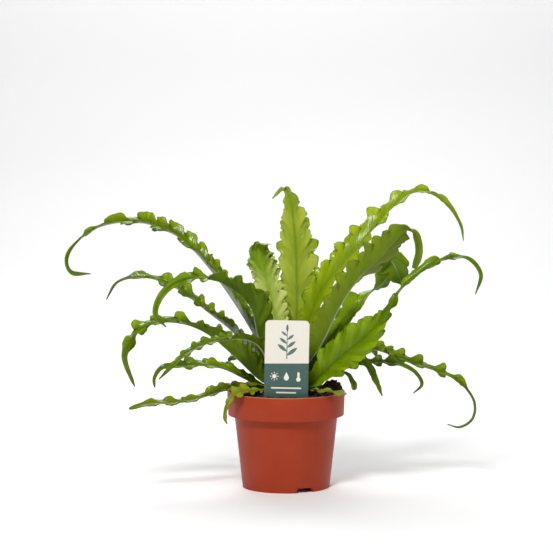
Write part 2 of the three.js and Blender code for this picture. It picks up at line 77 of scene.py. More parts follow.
def material(name):
    """An empty material and its tree."""
    made = bpy.data.materials.new(name)
    made.use_nodes = True
    made.node_tree.nodes.clear()
    return made, made.node_tree


paper, tree = material("white_paper_sweep")
shader = add(tree, "ShaderNodeBsdfPrincipled",
             {"Base Color": linear("#f6f6f6"), "Roughness": 0.9, "Specular IOR Level": 0.2})
add(tree, "ShaderNodeOutputMaterial", links={"Surface": shader.outputs[0]})
SWEEP_WIDTH = 4.4
SWEEP_CORNER = 0.5
builder = bmesh.new()
profile = [builder.verts.new((-SWEEP_WIDTH / 2, y, z)) for y, z in ((-1.9, 0), (1.7, 0), (1.7, 1.9))]
edges = [builder.edges.new(pair) for pair in zip(profile, profile[1:])]
across = bmesh.ops.extrude_edge_only(builder, edges=edges)["geom"]
moved = [v for v in across if isinstance(v, bmesh.types.BMVert)]
bmesh.ops.translate(builder, verts=moved, vec=(SWEEP_WIDTH, 0, 0))
corner = [e for e in builder.edges if len(e.link_faces) == 2]
bmesh.ops.bevel(builder, geom=corner, affect="EDGES", offset=SWEEP_CORNER, segments=16, profile=0.5,
                material=-1)
bmesh.ops.recalc_face_normals(builder, faces=builder.faces)
for face in builder.faces:
    face.smooth = True
floor_mesh = bpy.data.meshes.new("floor")
builder.to_mesh(floor_mesh)
builder.free()
floor = bpy.data.objects.new("floor", floor_mesh)
floor_mesh.materials.append(paper)
scene.collection.objects.link(floor)

world = bpy.data.worlds.new("studio")
world.use_nodes = True
world.node_tree.nodes["Background"].inputs["Color"].default_value = (1, 1, 1, 1)
world.node_tree.nodes["Background"].inputs["Strength"].default_value = 0.17
scene.world = world

for name, place, aim, size, watts in (
    ("key", (-0.32, -1.3, 1.5), (0, 0, 0.15), 0.4, 28),
    ("fill", (0.9, -1.4, 0.8), (0, 0, 0.12), 2, 5),
    ("back", (-0.2, 0.9, 1.1), (0, 0, 0.15), 0.9, 5),
    ("paper", (0, 1.1, 1.8), (0, 1.7, 0.3), 1.2, 16),
):
    light_data = bpy.data.lights.new(name, "AREA")
    light_data.size = size
    light_data.energy = watts
    light = bpy.data.objects.new(name, light_data)
    light.location = place
    light.rotation_euler = (Vector(aim) - light.location).to_track_quat("-Z", "Y").to_euler()
    scene.collection.objects.link(light)

# Pot: injection-moulded polypropylene in terracotta red, thin walled, with a deep rim band and a foot ring
# cut by three notches. The outline is spun from the CAD pot's own sizes, and its edges are rounded.
MM = 0.001
POT_HEIGHT = 98 * MM
RIM_RADIUS = 60 * MM
BAND_HEIGHT = 24 * MM
BAND_TAPER = 1 * MM
NECK_RADIUS = 52.7 * MM
FOOT_RADIUS = 44.5 * MM
WALL = 1.6 * MM
FLOOR_TOP = 6.4 * MM
CHANNEL_DEPTH = 4.6 * MM
CHANNEL_INSIDE = 24 * MM
CHANNEL_OUTSIDE = 40.5 * MM
NOTCH_WIDTH = 17 * MM
NOTCH_AZIMUTH = 296
EDGE_ROUNDING = 0.45 * MM
SHARP_EDGE = 0.4
NECK_HEIGHT = POT_HEIGHT - BAND_HEIGHT
BAND_RADIUS = RIM_RADIUS - BAND_TAPER


def spun(profile, steps):
    """A bmesh of a [radius, height] outline that starts and ends on the axis, turned once round."""
    builder = bmesh.new()
    corners = [builder.verts.new((radius, 0, height)) for radius, height in profile]
    edges = [builder.edges.new(pair) for pair in zip(corners, corners[1:])]
    bmesh.ops.spin(builder, geom=corners + edges, cent=(0, 0, 0), axis=(0, 0, 1), angle=math.tau, steps=steps,
                   use_merge=True)
    bmesh.ops.remove_doubles(builder, verts=builder.verts, dist=1e-6)
    bmesh.ops.recalc_face_normals(builder, faces=builder.faces)
    return builder


pot_builder = spun([
    (0, 0), (CHANNEL_INSIDE, 0), (CHANNEL_INSIDE + 0.5 * MM, CHANNEL_DEPTH),
    (CHANNEL_OUTSIDE - 0.5 * MM, CHANNEL_DEPTH), (CHANNEL_OUTSIDE, 0), (FOOT_RADIUS, 0),
    (NECK_RADIUS, NECK_HEIGHT), (BAND_RADIUS, NECK_HEIGHT), (RIM_RADIUS, POT_HEIGHT),
    (RIM_RADIUS - WALL, POT_HEIGHT), (BAND_RADIUS - WALL, NECK_HEIGHT + WALL),
    (NECK_RADIUS - WALL, NECK_HEIGHT + WALL), (FOOT_RADIUS - WALL, FLOOR_TOP), (0, FLOOR_TOP),
], 192)
half_notch = math.degrees(math.asin(NOTCH_WIDTH / 2 / FOOT_RADIUS))
for vertex in pot_builder.verts:
    radius = math.hypot(vertex.co.x, vertex.co.y)
    turn = (math.degrees(math.atan2(vertex.co.y, vertex.co.x)) - NOTCH_AZIMUTH + 60) % 120 - 60
    if radius > CHANNEL_OUTSIDE - 0.1 * MM and vertex.co.z < 1 * MM and abs(turn) < half_notch:
        vertex.co.z = CHANNEL_DEPTH
creases = [e for e in pot_builder.edges if len(e.link_faces) == 2 and e.calc_face_angle() > SHARP_EDGE]
bmesh.ops.bevel(pot_builder, geom=creases, affect="EDGES", offset=EDGE_ROUNDING, segments=3, profile=0.5,
                material=-1, clamp_overlap=True)
for vertex in pot_builder.verts:
    vertex.co.z = max(vertex.co.z, 0)

# Polypropylene, satin from the mould: a soft highlight, a faint mottle in the colour, scuffs that break up
# the gloss, and a grain of about half a millimetre drawn at 1.5 mm so that it shows. The lip's top edge is
# painted paler, a painted highlight.
pot_plastic, tree = material("moulded_polypropylene_terracotta")
place = add(tree, "ShaderNodeTexCoord").outputs["Object"]
mottle = add(tree, "ShaderNodeTexNoise", {"Scale": 1 / 0.03, "Detail": 4}, {"Vector": place})
stretched = add(tree, "ShaderNodeMapping", {"Scale": (1, 1, 0.2)}, {"Vector": place})
scuffs = add(tree, "ShaderNodeTexNoise", {"Scale": 1 / 0.006, "Detail": 6, "Roughness": 0.7},
             {"Vector": stretched.outputs[0]})
grain = add(tree, "ShaderNodeTexNoise", {"Scale": 1 / 0.0015, "Detail": 2}, {"Vector": place})
colour = add(tree, "ShaderNodeMix", {"data_type": "RGBA", 6: linear("#9a3219"), 7: linear("#ab4227")},
             {0: mottle.outputs[0]})
height = add(tree, "ShaderNodeSeparateXYZ", links={0: place}).outputs["Z"]
# Painted highlight: from 97.1 mm up, the lip's top edge is mixed up to 0.7 of the way towards a pale red.
painted_lip_highlight = add(tree, "ShaderNodeMapRange", {"From Min": 97.1 * MM, "From Max": 97.8 * MM, "To Max": 0.7},
          {"Value": height})
colour = add(tree, "ShaderNodeMix", {"data_type": "RGBA", 7: linear("#d08068")},
             {0: painted_lip_highlight.outputs[0], 6: colour.outputs[2]})
gloss = add(tree, "ShaderNodeMapRange", {"From Min": 0.3, "From Max": 0.7, "To Min": 0.36, "To Max": 0.5},
            {"Value": scuffs.outputs[0]})
bump = add(tree, "ShaderNodeBump", {"Strength": 0.25, "Distance": 0.05 * MM}, {"Height": grain.outputs[0]})
shader = add(tree, "ShaderNodeBsdfPrincipled",
             {"IOR": 1.49, "Specular IOR Level": 0.14, "Subsurface Weight": 0.05},
             {"Base Color": colour.outputs[2], "Roughness": gloss.outputs[0], "Normal": bump.outputs[0]})
add(tree, "ShaderNodeOutputMaterial", links={"Surface": shader.outputs[0]})


def finished(name, mesh_builder, made_of, nodes, smooth=True):
    """A bmesh turned into a piece that rides on the plant's one body and stands for its nodes."""
    mesh = bpy.data.meshes.new(name)
    mesh_builder.to_mesh(mesh)
    mesh_builder.free()
    for polygon in mesh.polygons:
        polygon.use_smooth = smooth
    piece = bpy.data.objects.new(name, mesh)
    scene.collection.objects.link(piece)
    mesh.materials.append(made_of)
    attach(piece, "root")
    if nodes:
        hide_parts(*nodes)
    return piece


pot = finished("moulded_pot", pot_builder, pot_plastic, ["pot"])

# Drain holes: round, moulded through the floor in a ring, here bored with six short pins.
DRAIN_HOLES = 6
DRAIN_CIRCLE = 32 * MM
DRAIN_RADIUS = 4 * MM
PIN_LENGTH = 6 * MM
PIN_HEIGHT = 5.5 * MM
cutter_builder = bmesh.new()
for hole in range(DRAIN_HOLES):
    turned = Matrix.Rotation(math.radians(360 / DRAIN_HOLES * hole), 4, "Z")
    spot = turned @ Matrix.Translation((DRAIN_CIRCLE, 0, PIN_HEIGHT))
    bmesh.ops.create_cone(cutter_builder, cap_ends=True, segments=32, radius1=DRAIN_RADIUS,
                          radius2=DRAIN_RADIUS, depth=PIN_LENGTH, matrix=spot)
cutter_mesh = bpy.data.meshes.new("drain_holes")
cutter_builder.to_mesh(cutter_mesh)
cutter_builder.free()
cutter = bpy.data.objects.new("drain_holes", cutter_mesh)
scene.collection.objects.link(cutter)
cut = pot.modifiers.new("drain_holes", "BOOLEAN")
cut.object = cutter
cut.operation = "DIFFERENCE"
cut.solver = "EXACT"
bpy.context.view_layer.update()
drained = bpy.data.meshes.new_from_object(pot.evaluated_get(bpy.context.evaluated_depsgraph_get()))
pot.modifiers.clear()
pot.data = drained
bpy.data.objects.remove(cutter)

# Soil: dark peat potting mix filled to just under the rim, with a heap that the fronds push up on the right.
# Loose crumbs of peat and bark lie on it.
SOIL_EDGE = 94.5
SOIL_RISE = 4
SOIL_RADIUS = 57.4
SOIL_BOTTOM = 7
HEAP_X, HEAP_Y = 49, 4
HEAP_HEIGHT = 11
HEAP_SPREAD = 9
CRUMBS = 900
HEAP_CRUMBS = 200
CRUMB_RADIUS = (0.6, 1.9)


def soil_height(x, y):
    """The peat's height at a place, all in millimetres."""
    edge = math.hypot(x, y) / SOIL_RADIUS
    heap = HEAP_HEIGHT * math.exp(-((x - HEAP_X) ** 2 + (y - HEAP_Y) ** 2) / (2 * HEAP_SPREAD**2))
    lumps = math.sin(0.55 * x + 0.9) * math.cos(0.47 * y) + math.sin(0.83 * x - 0.71 * y + 2)
    return SOIL_EDGE + SOIL_RISE * (1 - edge**2) + heap + 0.8 * lumps * min(1, 4 * (1.05 - edge))


outline = [(0, SOIL_BOTTOM * MM), (42.4 * MM, SOIL_BOTTOM * MM), (50.6 * MM, 75 * MM), (56.9 * MM, 76.5 * MM)]
outline += [(radius * MM, SOIL_EDGE * MM) for radius in np.linspace(SOIL_RADIUS, 0, 42)]
soil_builder = spun(outline, 150)
for vertex in soil_builder.verts:
    if vertex.co.z > 90 * MM:
        x, y = vertex.co.x / MM, vertex.co.y / MM
        rough = sum(noise.noise(Vector((x, y, 9)) / size) * size * 0.22 for size in (7, 3, 1.4))
        vertex.co.z = (soil_height(x, y) + rough) * MM

# Peat potting mix: damp, dark and matte, with crumbs of 1.8 mm and paler specks of bark.
peat, tree = material("peat_potting_mix")
place = add(tree, "ShaderNodeTexCoord").outputs["Object"]
crumbs = add(tree, "ShaderNodeTexVoronoi", {"Scale": 1 / 0.0018}, {"Vector": place})
damp = add(tree, "ShaderNodeTexNoise", {"Scale": 1 / 0.012, "Detail": 5}, {"Vector": place})
colour = add(tree, "ShaderNodeMix", {"data_type": "RGBA", 6: linear("#17100c"), 7: linear("#35241a")},
             {0: damp.outputs[0]})
chosen = add(tree, "ShaderNodeMapRange", {"From Min": 0.62, "From Max": 0.9, "To Max": 0.5},
             {"Value": crumbs.outputs["Color"]})
speck = add(tree, "ShaderNodeMix", {"data_type": "RGBA", 7: linear("#4a3524")},
            {6: colour.outputs[2], 0: chosen.outputs[0]})
bump = add(tree, "ShaderNodeBump", {"Strength": 0.8, "Distance": 0.5 * MM},
           {"Height": crumbs.outputs["Distance"]})
shader = add(tree, "ShaderNodeBsdfPrincipled", {"Roughness": 0.85},
             {"Base Color": speck.outputs[2], "Normal": bump.outputs[0]})
add(tree, "ShaderNodeOutputMaterial", links={"Surface": shader.outputs[0]})
finished("peat_fill", soil_builder, peat, ["soil"])

chance = np.random.default_rng(7)
crumb_builder = bmesh.new()
for count in range(CRUMBS):
    if count < HEAP_CRUMBS:
        x, y = HEAP_X + chance.normal(0, 6), HEAP_Y + chance.normal(0, 9)
    else:
        radius, turn = 56 * math.sqrt(chance.uniform(0.1, 1)), chance.uniform(0, math.tau)
        x, y = radius * math.cos(turn), radius * math.sin(turn)
    if math.hypot(x, y) > 55.5 or math.hypot(x, y) < 18:
        continue
    size = chance.uniform(*CRUMB_RADIUS)
    turned = Matrix.Rotation(chance.uniform(0, math.tau), 4, chance.normal(size=3))
    shape = Matrix.Diagonal((size, size * chance.uniform(0.5, 1), size * chance.uniform(0.4, 0.9), 1))
    spot = Matrix.Translation((x * MM, y * MM, (soil_height(x, y) + 0.4 * size) * MM))
    bmesh.ops.create_icosphere(crumb_builder, subdivisions=1, radius=MM, matrix=spot @ turned @ shape)
noise.seed_set(7)
for vertex in crumb_builder.verts:
    vertex.co += noise.noise_vector(vertex.co / (0.8 * MM)) * 0.35 * MM
finished("peat_crumbs", crumb_builder, peat, [], smooth=False)

# Crown: the short rootstock that the fronds spring from, wrapped in narrow brown papery scales. It is spun
# as a blunt cone, and the scales stand on it in the golden spiral in which they grow.
SCALES = 260
GOLDEN_ANGLE = 2.39996
crown_builder = spun([(radius * MM, height * MM) for radius, height in (
    (0, 66), (8, 68), (14, 78), (18, 88), (20, 96), (19, 102), (16.5, 106.5), (12, 110), (6.5, 112.5),
    (0, 113.5),
)], 48)
for count in range(SCALES):
    turn = count * GOLDEN_ANGLE
    share = ((count + 0.5) / SCALES) ** 0.6
    radius = (3 + 16 * share) * MM
    height = (113 - 11 * share**3) * MM
    long = chance.uniform(5, 9) * MM
    broad = chance.uniform(0.7, 1.2) * MM
    stand = math.radians(chance.uniform(35, 75) - 25 * share)
    made = bmesh.ops.create_cone(crown_builder, cap_ends=True, segments=6, radius1=broad, radius2=0.05 * MM,
                                 depth=long)
    shape = (
        Matrix.Rotation(turn, 4, "Z") @ Matrix.Translation((radius, 0, height))
        @ Matrix.Rotation(math.pi / 2 - stand, 4, "Y") @ Matrix.Diagonal((0.35, 1, 1, 1))
        @ Matrix.Translation((0, 0, long * 0.35))
    )
    bmesh.ops.transform(crown_builder, matrix=shape, verts=made["verts"])

# Scales: dry membrane, dark brown and slightly glossy, paler where it is thin.
scales, tree = material("fern_scales")
place = add(tree, "ShaderNodeTexCoord").outputs["Object"]
streak = add(tree, "ShaderNodeTexNoise", {"Scale": 1 / 0.002, "Detail": 3}, {"Vector": place})
colour = add(tree, "ShaderNodeMix", {"data_type": "RGBA", 6: linear("#2a190d"), 7: linear("#6b4a2a")},
             {0: streak.outputs[0]})
shader = add(tree, "ShaderNodeBsdfPrincipled", {"Roughness": 0.6}, {"Base Color": colour.outputs[2]})
add(tree, "ShaderNodeOutputMaterial", links={"Surface": shader.outputs[0]})
finished("scaly_crown", crown_builder, scales, ["crown"])

# Label: a card die-cut from white polystyrene sheet, printed cream above and grey-green below, with its stake
# pushed into the peat. The print is a plain sprig over a sun, a drop, a thermometer and two bars.
LABEL_WIDTH = 44
LABEL_TOP = 174
LABEL_SHOULDER = 88
LABEL_TIP = 42
LABEL_CORNER = 4.5
LABEL_BAND = 131
LABEL_THICKNESS = 0.8
LABEL_ASIDE = -0.5
LABEL_AHEAD = 44
LABEL_LEAN = 1.2
STAKE_WIDTH = 20
stood = (
    Matrix.Translation((LABEL_ASIDE * MM, -LABEL_AHEAD * MM, LABEL_SHOULDER * MM))
    @ Matrix.Rotation(math.radians(LABEL_LEAN), 4, "Y")
    @ Matrix.Translation((0, 0, -LABEL_SHOULDER * MM))
)


def card(points, front, thickness, builder):
    """A flat shape in the label's plane, from points in millimetres, as thick as given behind its front."""
    corners = [builder.verts.new((x * MM, front * MM, z * MM)) for x, z in points]
    face = builder.faces.new(corners)
    made = bmesh.ops.extrude_face_region(builder, geom=[face])
    moved = [v for v in made["geom"] if isinstance(v, bmesh.types.BMVert)]
    bmesh.ops.translate(builder, verts=moved, vec=(0, thickness * MM, 0))
    return corners + moved


def arc(x, z, radius, start, end, steps):
    """Points on part of a circle in the label's plane, with its angles in degrees."""
    angles = [math.radians(start + (end - start) * i / steps) for i in range(steps + 1)]
    return [(x + radius * math.cos(a), z + radius * math.sin(a)) for a in angles]


half, stake = LABEL_WIDTH / 2, STAKE_WIDTH / 2
label_builder = bmesh.new()
card(
    [(0, LABEL_TIP), (stake, LABEL_TIP + STAKE_WIDTH), (stake, LABEL_SHOULDER - 3), (half, LABEL_SHOULDER)]
    + arc(half - LABEL_CORNER, LABEL_TOP - LABEL_CORNER, LABEL_CORNER, 0, 90, 12)
    + arc(LABEL_CORNER - half, LABEL_TOP - LABEL_CORNER, LABEL_CORNER, 90, 180, 12)
    + [(-half, LABEL_SHOULDER), (-stake, LABEL_SHOULDER - 3), (-stake, LABEL_TIP + STAKE_WIDTH)],
    -LABEL_THICKNESS / 2, LABEL_THICKNESS, label_builder,
)
bmesh.ops.transform(label_builder, matrix=stood, verts=label_builder.verts)
bmesh.ops.recalc_face_normals(label_builder, faces=label_builder.faces)
rims = [e for e in label_builder.edges if e.calc_face_angle() > 1]
bmesh.ops.bevel(label_builder, geom=rims, affect="EDGES", offset=0.12 * MM, segments=2, profile=0.5,
                material=-1)

# Polystyrene card under a satin print: the two inks meet in a sharp line, with a faint unevenness in each.
printed, tree = material("printed_polystyrene_card")
place = add(tree, "ShaderNodeTexCoord").outputs["Object"]
level = add(tree, "ShaderNodeMapping", {"Location": (0, 0, -LABEL_BAND * MM)}, {"Vector": place})
height = add(tree, "ShaderNodeSeparateXYZ", links={0: level.outputs[0]})
inked = add(tree, "ShaderNodeMapRange", {"From Min": 0.05 * MM, "From Max": -0.05 * MM},
            {"Value": height.outputs["Z"]})
mottle = add(tree, "ShaderNodeTexNoise", {"Scale": 1 / 0.004, "Detail": 3}, {"Vector": place})
cream = add(tree, "ShaderNodeMix", {"data_type": "RGBA", 6: linear("#dfd8cb"), 7: linear("#e5dfd4")},
            {0: mottle.outputs[0]})
green = add(tree, "ShaderNodeMix", {"data_type": "RGBA", 6: linear("#37564e"), 7: linear("#406058")},
            {0: mottle.outputs[0]})
colour = add(tree, "ShaderNodeMix", {"data_type": "RGBA"},
             {0: inked.outputs[0], 6: cream.outputs[2], 7: green.outputs[2]})
shader = add(tree, "ShaderNodeBsdfPrincipled", {"Roughness": 0.38}, {"Base Color": colour.outputs[2]})
add(tree, "ShaderNodeOutputMaterial", links={"Surface": shader.outputs[0]})
finished("plant_label", label_builder, printed, ["label"], smooth=False)

# Print: a sprig in grey-green on the cream, and symbols in cream on the grey-green, each a thin raised film.
INK_FRONT = -0.46
INK = 0.1
sprig_builder = bmesh.new()
card([(-0.5, 135.5), (0.5, 135.5), (0.3, 165), (-0.3, 165)], INK_FRONT, INK, sprig_builder)
for count in range(7):
    side = (-1) ** count
    root = 139 + 3.9 * count
    long = 13 - 1.1 * count if count < 6 else 8
    lean = math.radians(90 - 52 * side if count < 6 else 90)
    middle = long / 2
    leaf = arc(middle, -0.75 * long, 0.9 * long, 123.7, 56.3, 8)
    leaf += arc(middle, 0.75 * long, 0.9 * long, -56.3, -123.7, 8)[1:-1]
    card([(x * math.cos(lean) - z * math.sin(lean), x * math.sin(lean) + z * math.cos(lean) + root)
          for x, z in leaf], INK_FRONT, INK, sprig_builder)
bmesh.ops.transform(sprig_builder, matrix=stood, verts=sprig_builder.verts)
bmesh.ops.recalc_face_normals(sprig_builder, faces=sprig_builder.faces)

symbol_builder = bmesh.new()
card(arc(-12, 118, 2.1, 0, 345, 23), INK_FRONT, INK, symbol_builder)
for ray in range(8):
    turn = math.radians(45 * ray)
    points = [(2.9, -0.35), (4.3, -0.35), (4.3, 0.35), (2.9, 0.35)]
    card([(-12 + x * math.cos(turn) - z * math.sin(turn), 118 + x * math.sin(turn) + z * math.cos(turn))
          for x, z in points], INK_FRONT, INK, symbol_builder)
card(arc(0, 116.6, 2.6, -210, 30, 20) + [(0, 122.4)], INK_FRONT, INK, symbol_builder)
card(arc(12, 115.2, 2.2, 120, 420, 20) + arc(12, 121.4, 1.1, 0, 180, 8), INK_FRONT, INK, symbol_builder)
for low, long in ((105.6, 30), (101, 20)):
    card([(-long / 2, low), (long / 2, low), (long / 2, low + 1.5), (-long / 2, low + 1.5)], INK_FRONT, INK,
         symbol_builder)
bmesh.ops.transform(symbol_builder, matrix=stood, verts=symbol_builder.verts)
bmesh.ops.recalc_face_normals(symbol_builder, faces=symbol_builder.faces)

# Screen ink: one even layer, satin like the card.
for name, code, shapes in (
    ("printed_sprig", "#4a665d", sprig_builder),
    ("printed_symbols", "#ece6da", symbol_builder),
):
    ink, tree = material(name + "_ink")
    place = add(tree, "ShaderNodeTexCoord").outputs["Object"]
    mottle = add(tree, "ShaderNodeTexNoise", {"Scale": 1 / 0.002, "Detail": 2}, {"Vector": place})
    lighter = [0.9 * channel + 0.05 for channel in linear(code)]
    colour = add(tree, "ShaderNodeMix", {"data_type": "RGBA", 6: linear(code), 7: lighter},
                 {0: mottle.outputs[0]})
    shader = add(tree, "ShaderNodeBsdfPrincipled", {"Roughness": 0.4}, {"Base Color": colour.outputs[2]})
    add(tree, "ShaderNodeOutputMaterial", links={"Surface": shader.outputs[0]})
    finished(name, shapes, ink, [], smooth=False)

# Fronds: strap-shaped blades, leathery and a little translucent, each with a raised midrib underneath,
# margins that ripple like a lasagne sheet, and a narrow tail. Each grows from the crown and follows the line
# of its CAD node's midrib. The sizes are in millimetres.
PETIOLE = 1.9
TIP = 0.7
ROOT_FOLD = 50
HALF_WAVE = 6.2
TAIL_STRETCH = 2.2
WAVE_HEIGHT = 3.4
OUTER_HEIGHT = 2
VEIN_SLANT = 0.8
PLEAT_SLANT = 1.3
BLADE = 0.8
KEEL = 1.6
COLUMNS = 32
